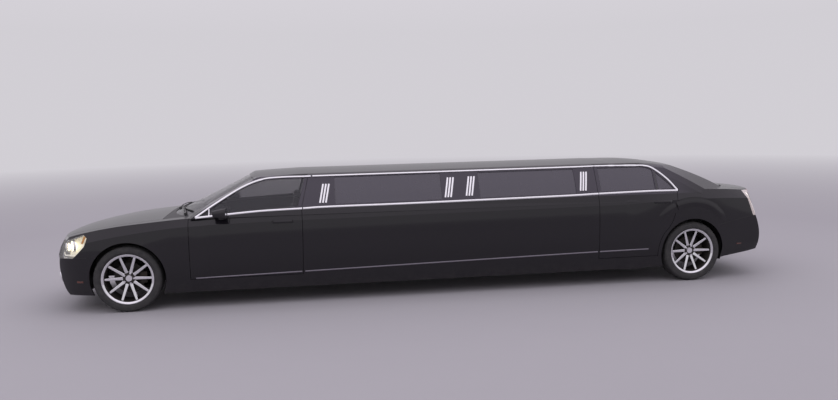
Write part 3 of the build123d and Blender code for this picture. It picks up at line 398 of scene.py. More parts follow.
@dataclass(frozen=True)
class Rubber(Finish):
    """Tyre rubber, dusty on the tread."""

    name: str = "tyre_rubber"
    base: Colour = (0.018, 0.018, 0.02)
    dust: Colour = (0.075, 0.07, 0.066)

    def build(self, graph: Graph) -> Value:
        """Dark rubber with dust in patches."""
        patches = graph.noise(22.0, 6.0, 0.7).ramp(0.35, 0.8)
        return graph.shader(Base_Color=graph.blend(patches * 0.6, self.base, self.dust),
                            Roughness=patches * 0.15 + 0.68,
                            Normal=graph.bump(graph.noise(500.0), 0.0003, 0.6))


@dataclass(frozen=True)
class Hide(Finish):
    """Upholstery leather with pebbled grain and soft creases."""

    name: str = "black_hide"
    base: Colour = (0.02, 0.018, 0.018)
    worn: Colour = (0.045, 0.04, 0.039)

    def build(self, graph: Graph) -> Value:
        """Voronoi pebbles over broad creases."""
        pebbles = graph.add("ShaderNodeTexVoronoi", {"Vector": graph.spot(), "Scale": 260.0}, "Distance",
                            feature="DISTANCE_TO_EDGE").ramp(0.0, 0.25)
        crease = graph.noise(14.0, 5.0, 0.7)
        return graph.shader(
            Base_Color=graph.blend(crease.ramp(0.4, 0.8), self.base, self.worn),
            Roughness=crease * 0.25 + 0.3, Coat_Weight=0.12, Coat_Roughness=0.3,
            Normal=graph.bump(pebbles * 0.6 + crease * 0.4, 0.0012, 0.6))


@dataclass(frozen=True)
class Carpet(Finish):
    """Cabin floor: cut pile above, black seam sealer below."""

    name: str = "carpet_and_underseal"
    pile: Colour = (0.022, 0.02, 0.021)
    tip: Colour = (0.05, 0.047, 0.048)
    seal: Colour = (0.02, 0.02, 0.021)
    road: Colour = (0.09, 0.082, 0.075)

    def build(self, graph: Graph) -> Value:
        """Pile where the floor faces up, underseal elsewhere."""
        tufts = graph.noise(600.0, 2.0)
        pile = graph.shader(Base_Color=graph.blend(tufts, self.pile, self.tip), Roughness=0.95,
                            Sheen_Weight=0.4, Normal=graph.bump(tufts, 0.002, 0.9))
        road = graph.noise(3.0, 6.0, 0.7).ramp(0.4, 0.75)
        seal = graph.shader(Base_Color=graph.blend(road * 0.7, self.seal, self.road), Roughness=0.8,
                            Normal=graph.bump(graph.noise(120.0, 4.0, 0.7), 0.001, 0.8))
        return graph.mix(graph.facing()[2] > 0.5, seal, pile)


@dataclass(frozen=True)
class Veneer(Finish):
    """Lacquered dark wood with a straight figure."""

    name: str = "dark_veneer"
    light: Colour = (0.16, 0.062, 0.026)
    dark: Colour = (0.045, 0.016, 0.008)

    def build(self, graph: Graph) -> Value:
        """Stretched bands of grain under lacquer."""
        stretched = graph.add("ShaderNodeMapping", {"Vector": graph.spot(), "Scale": (1.5, 18.0, 18.0)})
        grain = graph.add("ShaderNodeTexNoise", {"Vector": stretched, "Scale": 4.0, "Detail": 7.0,
                                                 "Distortion": 1.2}, "Fac")
        return graph.shader(Base_Color=graph.blend(grain.ramp(0.35, 0.65), self.light, self.dark),
                            Roughness=grain * 0.1 + 0.2, Coat_Weight=0.8, Coat_Roughness=0.05)


@dataclass(frozen=True)
class Ground(Finish):
    """Pale studio floor that melts into the backdrop far off."""

    name: str = "studio_floor"
    tone: Colour = (0.34, 0.328, 0.352)
    mottle: Colour = (0.31, 0.3, 0.322)
    backdrop: Colour = (0.64, 0.62, 0.66)
    fade: Pair = (9.0, 36.0)

    def build(self, graph: Graph) -> Value:
        """Plain pale floor near the car, the backdrop's own tone beyond."""
        mottle = graph.noise(2.0, 6.0, 0.6)
        near = graph.shader(Base_Color=graph.blend(mottle * 0.25, self.tone, self.mottle), Roughness=0.9)
        far = graph.add("ShaderNodeEmission", {"Color": self.backdrop, "Strength": 1.0})
        away = graph.add("ShaderNodeVectorMath", {0: graph.spot()}, "Value", operation="LENGTH")
        return graph.mix(away.ramp(*self.fade), near, far)


PAINT = Paint()
LINED = Paint(name="gloss_black_paint_lined", lined=True)
CHROME = Polished()
BRIGHT = Polished("bright_strip", (0.96, 0.96, 0.98), (0.7, 0.69, 0.68), 0.16, 0.1)
# A dull purple-grey metal for the strip along the sill's crease: a painted highlight in place of the light
# that the paint's crease catches.
SILL_HIGHLIGHT = Polished("sill_line", (0.3, 0.28, 0.32), (0.2, 0.19, 0.21), 0.3, 0.3)
STEEL = Polished("dull_steel", (0.13, 0.125, 0.12), (0.06, 0.052, 0.045), 0.45, 0.7)
MIRROR = Polished("mirror_glass", (0.75, 0.77, 0.8), (0.6, 0.6, 0.62), 0.01, 0.05)
BLACK = Grained("black_moulding", (0.012, 0.012, 0.013), (0.03, 0.03, 0.031), 0.55)
GLOSS = Grained("gloss_black_moulding", (0.006, 0.006, 0.008), (0.012, 0.012, 0.014), 0.2, coat=0.8)
SEAL = Grained("rubber_seal", (0.008, 0.008, 0.008), (0.02, 0.02, 0.02), 0.7)
TRIM = Grained("cabin_trim", (0.03, 0.029, 0.03), (0.05, 0.048, 0.049), 0.6, scale=700.0)
CAST = Grained("cast_iron", (0.035, 0.033, 0.031), (0.07, 0.052, 0.04), 0.75, 0.4, 260.0, 0.0006)
ALLOY = Grained("cast_alloy", (0.3, 0.3, 0.31), (0.2, 0.2, 0.2), 0.5, 0.85, 240.0, 0.0006)
UNDER = Grained("underbody_paint", (0.018, 0.018, 0.019), (0.06, 0.055, 0.05), 0.6)
TANK = Grained("tank_plastic", (0.015, 0.015, 0.016), (0.035, 0.034, 0.033), 0.5)
PLATE = Grained("blank_plate", (0.62, 0.62, 0.6), (0.5, 0.5, 0.49), 0.4, 0.0, 90.0, 0.0003)
TINTED = Pane()
CLEAR = Pane("clear_glass", (0.03, 0.03, 0.038), 0.36)
LENS = Pane("lamp_lens", (0.75, 0.75, 0.7), 0.22)
# Red lens, pale on its faces turned to the side: a painted reflection along its wrap.
RED_LENS = Pane("red_lens", (0.32, 0.006, 0.008), 0.97, 0.04, (0.5, 0.01, 0.01), 0.05, 520.0,
                (0.55, 0.52, 0.5))
AMBER_LENS = Pane("amber_lens", (0.3, 0.13, 0.02), 0.95, 0.06, (1.0, 0.42, 0.05), 0.08, 700.0)
MARKER_LENS = Pane("marker_lens", (0.09, 0.022, 0.014), 0.97, 0.1)
RUBBER = Rubber()
HIDE = Hide()
BULB = Lit()
HALO = Lit("lit_reflector", (1.0, 0.92, 0.66), 3.0)
HOUSING = Lit("lit_housing", (0.7, 0.56, 0.26), 0.55)
# A pale glow: the light strip low in each headlamp, and a painted highlight along each tail lamp's edge.
PALE_LAMP_AND_HIGHLIGHT = Lit("pale_light_strip", (0.9, 0.86, 0.84), 0.5)


def circle(count: int) -> list[Pair]:
    """Evenly spaced points round a circle of radius 1."""
    return [(math.cos(2 * math.pi * i / count), math.sin(2 * math.pi * i / count)) for i in range(count)]


def add_object(name: str, data: bpy.types.ID | bmesh.types.BMesh) -> bpy.types.Object:
    """Add an object to the scene.

    Args:
        name: The object's name.
        data: What it holds; a bmesh is turned into a mesh and freed.

    Returns:
        The new object.
    """
    if isinstance(data, bmesh.types.BMesh):
        source, data = data, bpy.data.meshes.new(name)
        source.to_mesh(data)
        source.free()
    made = bpy.data.objects.new(name, data)
    bpy.context.scene.collection.objects.link(made)
    return made


class Shape:
    """A mesh in the making."""

    def __init__(self) -> None:
        """Start empty."""
        self.mesh = bmesh.new()

    def ring(self, points: Iterable) -> list:
        """Add a ring of vertices and return it."""
        return [self.mesh.verts.new(p) for p in points]

    def skin(self, rings: list[list], closed: bool = False) -> "Shape":
        """Join rings of equal length with faces, and close the ends.

        Args:
            rings: The rings in order.
            closed: Whether the last ring meets the first, with no ends.

        Returns:
            This shape.
        """
        count = len(rings[0])
        for first, second in zip(rings, rings[1:] + rings[:1] if closed else rings[1:]):
            for i in range(count):
                j = (i + 1) % count
                self.mesh.faces.new((first[i], first[j], second[j], second[i]))
        if not closed:
            self.mesh.faces.new(rings[0])
            self.mesh.faces.new(list(reversed(rings[-1])))
        return self

    def sweep(self, spots: list[Spot], section: list[Pair], closed: bool = False) -> "Shape":
        """Carry a section along a path.

        Args:
            spots: The path's points, each with the direction of the section's second axis.
            section: Corners as (across, out).
            closed: Whether the path is a loop.

        Returns:
            This shape.
        """
        rings = []
        last = len(spots) - 1
        for i, (point, normal) in enumerate(spots):
            before = spots[i - 1][0] if i or closed else point
            after = spots[(i + 1) % len(spots)][0] if i < last or closed else point
            along = (after - before).normalized()
            across = normal.cross(along).normalized()
            out = along.cross(across).normalized()
            rings.append(self.ring(point + across * a + out * b for a, b in section))
        return self.skin(rings, closed)

    def lathe(self, profile: list[Pair], centre: Vector, axis: Vector, steps: int,
              closed_profile: bool = False) -> "Shape":
        """Turn a profile about an axis.

        Args:
            profile: Corners as (radius, along).
            centre: A point on the axis.
            axis: The axis's direction.
            steps: Faces round the axis.
            closed_profile: Whether the last corner joins the first.

        Returns:
            This shape.
        """
        axis = axis.normalized()
        first = axis.cross(UP if abs(axis.z) < 0.9 else TO_REAR).normalized()
        second = axis.cross(first)
        rings = []
        for cos, sin in circle(steps):
            arm = first * cos + second * sin
            rings.append(self.ring(centre + arm * r + axis * a for r, a in profile))
        count = len(profile)
        for here, there in zip(rings, rings[1:] + rings[:1]):
            for j in range(count if closed_profile else count - 1):
                k = (j + 1) % count
                self.mesh.faces.new((here[j], here[k], there[k], there[j]))
        return self

    def block(self, low: Point, high: Point) -> "Shape":
        """Add a box.

        Args:
            low: Its lowest corner.
            high: Its highest corner.

        Returns:
            This shape.
        """
        v = self.ring((x, y, z) for x in (low[0], high[0]) for y in (low[1], high[1])
                      for z in (low[2], high[2]))
        for quad in ((0, 1, 3, 2), (4, 6, 7, 5), (0, 4, 5, 1), (2, 3, 7, 6), (0, 2, 6, 4), (1, 5, 7, 3)):
            self.mesh.faces.new([v[i] for i in quad])
        return self

    def bevel(self, width: float, segments: int = 3) -> "Shape":
        """Round every edge by a width, in some segments."""
        bmesh.ops.bevel(self.mesh, geom=list(self.mesh.edges), offset=width, segments=segments,
                        affect="EDGES", profile=0.6, clamp_overlap=True)
        return self

    def mirror(self) -> "Shape":
        """Move the mesh to the other side of the car."""
        for vert in self.mesh.verts:
            vert.co.y = -vert.co.y
        return self

    def piece(self, name: str, finish: Finish, body: str = "body", side: Side | None = None,
              smooth: float | None = 0.7) -> bpy.types.Object:
        """Turn the mesh into a piece of the car.

        Args:
            name: The piece's name.
            finish: Its finish.
            body: The body that it rides on.
            side: For a piece drawn on the left: where it goes, and what ends its name and its door's.
            smooth: The edge angle up to which it is shaded smooth, or None for flat.

        Returns:
            The new object.
        """
        if side is Side.RIGHT:
            self.mirror()
        if side:
            name, body = f"{name}_{side.word}", body if body == "body" else f"{body}_{side.word}"
        bmesh.ops.remove_doubles(self.mesh, verts=self.mesh.verts, dist=1e-6)
        bmesh.ops.recalc_face_normals(self.mesh, faces=self.mesh.faces)
        for face in self.mesh.faces:
            face.smooth = smooth is not None
        if smooth is not None:
            for edge in self.mesh.edges:
                edge.smooth = len(edge.link_faces) == 2 and edge.calc_face_angle(0.0) < smooth
        made = add_object(name, self.mesh)
        made.data.materials.append(finish.material())
        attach(made, body)
        log.info("piece %s on %s: %d faces", name, body, len(made.data.polygons))
        return made


def smooth_line(points: tuple, step: float) -> list[tuple[float, ...]]:
    """Run a Catmull-Rom curve through points.

    Args:
        points: The points to pass through.
        step: The distance between the points given back.

    Returns:
        Evenly spaced points on the curve.
    """
    line = [Vector(p) for p in points]
    line = [line[0] * 2 - line[1], *line, line[-1] * 2 - line[-2]]
    found = []
    for a, b, c, d in zip(line, line[1:], line[2:], line[3:]):
        count = max(2, round((c - b).length / step))
        for i in range(count):
            t = i / count
            found.append(tuple(0.5 * (2 * b + (c - a) * t + (2 * a - 5 * b + 4 * c - d) * t * t
                                      + (3 * b - a - 3 * c + d) * t ** 3)))
    return [*found, tuple(line[-2])]


def rounded(width: float, height: float, foot: float) -> list[Pair]:
    """A half-round strip's section.

    Args:
        width: Across the strip.
        height: Above the surface.
        foot: How far it reaches below the surface.

    Returns:
        Corners as (across, out).
    """
    half = width / 2
    return [(-half, -foot), (-half, height * 0.35), (-half * 0.62, height * 0.85), (0.0, height),
            (half * 0.62, height * 0.85), (half, height * 0.35), (half, -foot)]


class Skin:
    """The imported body's outside, for laying trim on."""

    away: float = -3.0

    def __init__(self, *nodes: str) -> None:
        """Gather the faces.

        Args:
            nodes: The CAD nodes that trim may lie on.
        """
        verts, faces = [], []
        self.owners = []
        for name in nodes:
            data = frame["nodes"][name].data
            start = len(verts)
            verts.extend(v.co.copy() for v in data.vertices)
            faces.extend([start + i for i in p.vertices] for p in data.polygons)
            self.owners.extend([name] * len(data.polygons))
        self.tree = BVHTree.FromPolygons(verts, faces)

    def owner(self, x: float, z: float) -> str:
        """The node that the left side shows at a place."""
        return self.owners[self.tree.ray_cast(Vector((x, self.away, z)), TO_RIGHT)[2]]

    def side(self, x: float, z: float, lift: float = 0.0) -> Spot:
        """The left side's surface at a place, lifted off it, with the outward normal."""
        return self.hit(Vector((x, self.away, z)), TO_RIGHT, lift)

    def run(self, places: Iterable[Pair], lift: float = 0.0) -> list[Spot]:
        """The left side's surface at some places."""
        return [self.side(x, z, lift) for x, z in places]

    def strip(self, name: str, finish: Finish, side: Side, start: Pair, step: Pair, count: int,
              section: Point, body: str = "body", lift: float = 0.0) -> None:
        """Lay a strip along a straight line on a side.

        Args:
            name: The piece's name, to which the side is added.
            finish: Its finish.
            side: The side it lies on.
            start: Its first point as (x, z).
            step: The way to the next point.
            count: How many points it has.
            section: Its width, height and foot.
            body: The body that it rides on.
            lift: Distance off the surface.
        """
        spots = self.run(((start[0] + step[0] * i, start[1] + step[1] * i) for i in range(count)), lift)
        Shape().sweep(spots, rounded(*section)).piece(name, finish, body, side)

    def seek(self, start: Vector, towards: Vector) -> Vector | None:
        """Where a ray meets the surface, or None."""
        return self.tree.ray_cast(start, towards)[0]

    def hit(self, start: Vector, towards: Vector, lift: float = 0.0) -> Spot:
        """Follow a ray to the surface.

        Args:
            start: Where the ray starts.
            towards: Its direction.
            lift: Distance off the surface.

        Returns:
            The point and the outward normal.
        """
        point, normal, _, _ = self.tree.ray_cast(start, towards)
        if point is None:
            raise ValueError(f"no surface from {tuple(start)}")
        if normal.dot(towards) > 0:
            normal = -normal
        return point + normal * lift, normal


@dataclass
class Car:
    """Places read from the frame that the sub-assemblies share."""

    front_x: float
    rear_x: float
    axle_z: float
    wheel_y: float
    tyre: float
    low: Vector

    @classmethod
    def measured(cls) -> "Car":
        """Read the wheels' centres and the whole box.

        Returns:
            The places.
        """
        low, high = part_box("tyre_front_left")
        back_low, back_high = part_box("tyre_rear_left")
        return cls((low.x + high.x) / 2, (back_low.x + back_high.x) / 2, (low.z + high.z) / 2,
                   -(low.y + high.y) / 2, (high.z - low.z) / 2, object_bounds()[0])


@dataclass
class Dressing:
    """Gives each CAD node its finish; a star in a name stands for each side."""

    car: Car
    plan: dict = field(default_factory=lambda: {
        LINED: "side_frame_* front_door_* rear_door_* roof_panel",
        PAINT: "rear_deck front_fenders hood front_bumper boot_lid rear_bumper mirror_*",
        BLACK: "cowl wheelhouse_liners",
        TINTED: "tinted_glass rear_door_glass_*",
        CLEAR: "windscreen front_door_glass_*",
        LENS: "front_lamps",
        RED_LENS: "tail_lamps",
        CHROME: "grille",
        UNDER: "front_structure",
        Carpet(): "floor_pan",
        ALLOY: "engine",
        CAST: "front_subframe rear_subframe knuckle_*",
        STEEL: "propshaft_and_exhaust",
        TANK: "fuel_tank",
        TRIM: "dashboard partition steering_wheel",
        Veneer(): "bar_cabinet",
        HIDE: "front_seats side_bench rear_seat",
        RUBBER: "tyre_front_* tyre_rear_*",
    })

    def apply(self) -> None:
        """Assign every node's material."""
        car = self.car
        rims = WheelMetal(car.front_x, car.rear_x, car.axle_z, car.wheel_y)
        for finish, names in {**self.plan, rims: "rim_front_* rim_rear_*"}.items():
            for node in sorted({name.replace("*", side.word) for name in names.split() for side in Side}):
                for holder in frame["nodes"][node].material_slots:
                    holder.material = finish.material()
                log.info("node %s gets %s", node, finish.name)


@dataclass
class BeltTrim:
    """Bright strips round the side glass and the bars on the pillars."""

    skin: Skin
    strip: float = 0.022
    proud: float = 0.008
    step: float = 0.03
    finer: int = 8
    seam: float = 0.004
    lower: tuple = ((-2.690, 1.010), (-2.369, 1.034), (-1.971, 1.059), (-1.523, 1.070), (-1.219, 1.078),
                    (-0.195, 1.083), (1.480, 1.101), (1.978, 1.112), (2.489, 1.120), (2.729, 1.122),
                    (2.985, 1.118))
    upper: tuple = ((-2.690, 1.012), (-2.470, 1.155), (-2.190, 1.316), (-1.964, 1.397), (-1.738, 1.415),
                    (-1.441, 1.417), (-1.201, 1.419), (1.544, 1.430), (2.050, 1.434), (2.500, 1.427),
                    (2.610, 1.423), (2.700, 1.400), (2.800, 1.330), (2.900, 1.235), (2.985, 1.124))
    panels: tuple = (("front_door", -2.69, -1.4), ("stretch", -1.4, 1.968), ("rear_door", 1.972, 3.1))
    door_edge: Pair = (-1.525, 1.075)
    door_slant: float = 0.12 / 0.359
    ornaments: tuple = ((-1.251, 1.326, -1.295, 1.121), (0.195, 1.354, 0.145, 1.132),
                        (0.446, 1.358, 0.396, 1.141), (1.833, 1.369, 1.790, 1.151))
    bar_pitch: float = 0.033
    bar_width: float = 0.019
    uprights: tuple = (("quarter_division", "rear_door", 2.729, 1.135, 0.03, 0.018, 0.003, GLOSS),
                       ("front_corner_bar", "front_door", -2.542, 1.024, 0.012, 0.012, 0.004, BRIGHT))

    def build(self) -> None:
        """Lay the strips and bars on both sides."""
        for side in Side:
            for label, start, end in self.panels:
                body = "body" if label == "stretch" else label
                for word, line in (("sill", self.lower), ("roof", self.upper)):
                    self._strip(f"{label}_{word}_strip", line, start, end, body, side)
            for i, bar in enumerate(self.ornaments):
                self._bars(f"pillar_bars_{i + 1}", bar, side)
            for name, door, x, z, rise, width, height, finish in self.uprights:
                self.skin.strip(name, finish, side, (x, z), (0.0, rise), 8, (width, height, 0.002), door)

    def _edge(self, z: float) -> float:
        """Where the front door's rear edge lies at a height."""
        x, foot = self.door_edge
        return x + max(0.0, z - foot) * self.door_slant

    def _strip(self, name: str, line: tuple, start: float, end: float, body: str, side: Side) -> None:
        """Lay one strip of one panel, cut where the panel ends.

        Args:
            name: The piece's name.
            line: The whole strip's points as (x, z).
            start: Where the panel starts.
            end: Where it ends.
            body: The body that it rides on.
            side: The side it lies on.
        """
        fine = []
        for x, z in smooth_line(line, self.step / self.finer):
            low = self._edge(z) + self.seam if -2 < start < 0 else start
            high = self._edge(z) - self.seam if end < 0 else end
            if low <= x <= high:
                fine.append((x, z))
        spots = [self._outermost(x, z) for x, z in fine[:-1:self.finer] + fine[-1:]]
        Shape().sweep(spots, rounded(self.strip, self.proud, 0.002)).piece(name, BRIGHT, body, side)

    def _outermost(self, x: float, z: float) -> Spot:
        """Find the side's surface as far out as just above or below a place, off any recessed glass.

        Args:
            x: Place along the car.
            z: Height.

        Returns:
            The point and the outward normal.
        """
        spots = [self.skin.side(x, z + shift) for shift in (-self.strip / 2, 0.0, self.strip / 2)]
        point, normal = min(spots, key=lambda spot: spot[0].y)
        return Vector((x, point.y, z)), normal

    def _bars(self, name: str, bar: tuple, side: Side) -> None:
        """Lay three slanted bright bars.

        Args:
            name: The piece's name.
            bar: The middle bar's ends as (x, z) of the top and (x, z) of the foot.
            side: The side they lie on.
        """
        shape = Shape()
        x1, z1, x0, z0 = bar
        for k in (-1, 0, 1):
            spots = self.skin.run((x0 + (x1 - x0) * t / 6 + k * self.bar_pitch, z0 + (z1 - z0) * t / 6)
                                  for t in range(7))
            shape.sweep(spots, rounded(self.bar_width, 0.006, 0.003))
        shape.piece(name, BRIGHT, side=side)


@dataclass
class Haunches:
    """Soft swelling over each rear wheel that catches the light, cut where panels meet."""

    skin: Skin
    step: float = 0.004
    thin: int = 8
    seam: float = 0.006
    line: tuple = ((2.700, 0.720), (2.760, 0.800), (2.900, 0.905), (3.060, 0.955), (3.210, 0.965),
                   (3.370, 0.930), (3.500, 0.840), (3.590, 0.715), (3.620, 0.600))
    half: float = 0.070
    height: float = 0.013
    sunk: float = 0.0015
    foot: float = 0.003
    fade: float = 0.16
    strokes: int = 10

    def build(self) -> None:
        """One swelling over each rear wheel, in a piece on each panel."""
        for side in Side:
            for i, (node, run) in enumerate(self._runs()):
                body = "rear_door" if node.startswith("rear_door") else "body"
                self._swell(f"rear_haunch_{i + 1}", run, body, side)

    def _swell(self, name: str, run: list[Pair], body: str, side: Side) -> None:
        """Make one piece whose section is a soft wave, lower towards the line's ends.

        Args:
            name: The piece's name.
            run: The crest's points as (x, z).
            body: The body that it rides on.
            side: The side it lies on.
        """
        shape, rings = Shape(), []
        spots = self.skin.run(run)
        for i, (point, normal) in enumerate(spots):
            before, after = spots[max(i - 1, 0)][0], spots[min(i + 1, len(spots) - 1)][0]
            across = normal.cross((after - before).normalized()).normalized()
            reach = min(abs(point.x - self.line[0][0]), abs(point.x - self.line[-1][0]))
            peak = self.height * min(1.0, reach / self.fade)
            ring = []
            for k in range(self.strokes + 1):
                t = 2 * k / self.strokes - 1
                rise = peak * (0.5 + 0.5 * math.cos(math.pi * t)) - self.sunk
                ring.append(point + across * t * self.half + normal * rise)
            rings.append(shape.ring([*ring, point - normal * self.foot]))
        shape.skin(rings).piece(name, PAINT, body, side)

    def _runs(self) -> list[tuple[str, list[Pair]]]:
        """Split the line where the node under it changes, short of each seam.

        Returns:
            Each run's node and points.
        """
        runs, last = [], None
        for x, z in smooth_line(self.line, self.step):
            node = self.skin.owner(x, z)
            if node != last:
                runs.append((node, []))
                last = node
            runs[-1][1].append((x, z))
        cut = max(1, round(self.seam / self.step))
        kept = []
        for i, (node, run) in enumerate(runs):
            run = run[cut if i else 0:len(run) - cut if i < len(runs) - 1 else len(run)]
            if len(run) > 2 * self.thin:
                kept.append((node, run[:-1:self.thin] + run[-1:]))
        return kept


@dataclass
class Seams:
    """Dark lines where fixed panels meet."""

    skin: Skin
    car: Car
    width: float = 0.004
    fuel_door: Pair = (0.28, 0.905)
    fuel_size: Pair = (0.085, 0.075)

    def build(self) -> None:
        """Bumper seams on both sides and the fuel door on the right."""
        for side in Side:
            for name, x, z, run, rise, count in (
                ("front_bumper_seam", self.car.front_x - 0.55, 0.619, 0.02, 0.0, 8),
                ("rear_bumper_seam", self.car.rear_x + 0.332, 0.6805, 0.03, 0.006, 16),
            ):
                self.skin.strip(name, SEAL, side, (x, z), (run, rise), count, (self.width, 0.0008, 0.002))
        x, z = self.fuel_door
        wide, high = self.fuel_size
        spots = self.skin.run((self.car.rear_x + x + wide * a, z + high * b) for a, b in circle(36))
        Shape().sweep(spots, rounded(0.0035, 0.0006, 0.001), True).mirror().piece("fuel_door_seam", SEAL)


@dataclass
class Handles:
    """Door handles."""

    skin: Skin
    places: tuple = (("front_door", -1.748, 0.934), ("rear_door", 2.780, 0.990))
    length: float = 0.235
    reach: float = 0.042
    sunk: float = 0.012
    grip: Pair = (0.016, 0.008)

    def build(self) -> None:
        """A bow from each door's skin and back."""
        grip = [(self.grip[0] * a, self.grip[1] * b) for a, b in circle(12)]
        for side in Side:
            for door, x, z in self.places:
                spots = []
                for i in range(13):
                    t = i / 12
                    point, normal = self.skin.side(x - self.length / 2 + self.length * t, z)
                    bow = self.reach * (1 - (2 * t - 1) ** 6) - self.sunk
                    spots.append((point + normal * bow, normal))
                Shape().sweep(spots, grip).piece(f"{door}_handle", PAINT, door, side)


@dataclass
class Lamps:
    """What shows in and round the lamps."""

    skin: Skin
    lenses: Skin
    car: Car
    fan: Pair = (-0.32, -0.45)
    fan_turns: tuple = (-4.0, 92.0, 2.0)
    fan_heights: tuple = (0.600, 0.872, 0.008)
    wall_gap: float = 0.068
    back_gap: float = 0.074
    back_reach: float = 0.007
    strip_turns: Pair = (8.0, 76.0)
    strip_rise: float = 0.022
    strip_gap: float = 0.012
    bowls: tuple = ((-0.4, -0.640, 0.712, 0.050, 4.0), (-0.37, -0.690, 0.738, 0.058, 27.0))
    bowl: tuple = ((1.0, 0.0), (0.94, -0.01), (0.72, -0.03), (0.34, -0.045), (0.0, -0.048))
    rim: tuple = ((0.97, 0.001), (1.02, 0.004), (1.1, 0.002), (1.12, -0.02), (1.0, -0.012))
    bulb: tuple = ((0.0, -0.004), (0.014, -0.008), (0.021, -0.02), (0.018, -0.038), (0.0, -0.044))
    fog: Pair = (-0.69, 0.392)
    fog_ring: tuple = ((0.040, 0.0005), (0.042, 0.005), (0.048, 0.006), (0.052, 0.003), (0.053, -0.002))
    fog_bowl: tuple = ((0.036, 0.0), (0.02, -0.018), (0.0, -0.022))

    def build(self) -> None:
        """Head, fog, marker and tail lamps on both sides."""
        front, rear = self.car.front_x, self.car.rear_x
        for side in Side:
            self._housing(side)
            self._bowls(side)
            self.skin.strip("headlamp_marker", AMBER_LENS, side, (front - 0.452, 0.772), (0.0022, 0.0078),
                            10, (0.026, 0.002, 0.002), lift=0.0005)
            self._fog(side)
            # The edge strip glows pale along the tail lamp's outer edge, a painted highlight and not a lamp;
            # the rib is gloss black moulding.
            for word, x, width, finish in (("edge", 0.768, 0.014, PALE_LAMP_AND_HIGHLIGHT), ("rib", 0.813, 0.006, GLOSS)):
                self.skin.strip(f"tail_lamp_{word}", finish, side, (rear + x, 1.05), (0.0116, -0.026), 11,
                                (width, 0.0025, 0.002))
            for word, x, z, high in (("front", front - 0.539, 0.347, 0.022),
                                     ("rear", rear + 0.607, 0.427, 0.014)):
                self.skin.strip(f"{word}_side_marker", MARKER_LENS, side, (x, z), (0.01, 0.0), 8,
                                (high, 0.004, 0.003), lift=0.0002)

    def _towards(self, turn: float) -> Vector:
        """The level direction that a turn from straight ahead gives."""
        return Vector((-math.cos(math.radians(turn)), -math.sin(math.radians(turn)), 0))

    def _housing(self, side: Side) -> None:
        """The bright wall behind the lens with its dark back, and the light strip low in it.

        Args:
            side: The lamp's side.
        """
        first, last, pace = self.fan_turns
        low, high, rise = self.fan_heights
        wall, back = Shape(), Shape()
        verts, ahead, strip = {}, {}, []
        for i in range(round((last - first) / pace) + 1):
            turn = first + pace * i
            towards = self._towards(turn)
            lowest = None
            for j in range(round((high - low) / rise) + 1):
                start = Vector((self.car.front_x + self.fan[0], self.fan[1], low + rise * j))
                point = self.lenses.seek(start, towards)
                if point is None:
                    continue
                verts[i, j] = (wall.mesh.verts.new(point - towards * self.wall_gap),
                               back.mesh.verts.new(point - towards * self.back_gap))
                ahead[verts[i, j][1].co.to_tuple(5)] = towards
                if lowest is None:
                    lowest = self.lenses.seek(start + Vector((0, 0, self.strip_rise)), towards)
                    if lowest is not None and self.strip_turns[0] <= turn <= self.strip_turns[1]:
                        strip.append((lowest - towards * self.strip_gap, towards))
        for i, j in list(verts):
            quad = [(i, j), (i + 1, j), (i + 1, j + 1), (i, j + 1)]
            if all(k in verts for k in quad):
                for layer, shape in enumerate((wall, back)):
                    shape.mesh.faces.new([verts[k][layer] for k in quad])
        rim = [edge for edge in back.mesh.edges if edge.is_boundary]
        for part in bmesh.ops.extrude_edge_only(back.mesh, edges=rim)["geom"]:
            if isinstance(part, bmesh.types.BMVert):
                part.co += ahead[part.co.to_tuple(5)] * (self.back_gap - self.back_reach)
        wall.piece("headlamp_housing", HOUSING, side=side)
        back.piece("headlamp_back", BLACK, side=side)
        Shape().sweep(strip, rounded(0.012, 0.004, 0.004)).piece("headlamp_strip", PALE_LAMP_AND_HIGHLIGHT, side=side)

    def _bowls(self, side: Side) -> None:
        """Two lit bowls with their rims and bulbs.

        Args:
            side: The lamp's side.
        """
        for i, (x, y, z, radius, turn) in enumerate(self.bowls):
            towards = self._towards(turn)
            inner = self.lenses.seek(Vector((self.car.front_x + x, y, z)), towards)
            for word, profile, size, finish, steps in (("bowl", self.bowl, radius, HALO, 40),
                                                       ("rim", self.rim, radius, CHROME, 40),
                                                       ("bulb", self.bulb, 1.0, BULB, 24)):
                profile = [(size * r, a) for r, a in profile]
                Shape().lathe(profile, inner - towards * 0.014, towards, steps).piece(
                    f"headlamp_{word}_{i + 1}", finish, side=side)

    def _fog(self, side: Side) -> None:
        """Bright ring and lit bowl of a fog lamp.

        Args:
            side: The lamp's side.
        """
        y, z = self.fog
        face, normal = self.skin.hit(Vector((self.car.low.x - 1, y, z)), TO_REAR)
        Shape().lathe(self.fog_ring, face, normal, 40).piece("fog_ring", CHROME, side=side)
        Shape().lathe(self.fog_bowl, face - normal * 0.05, normal, 32).piece("fog_bowl", HALO, side=side)


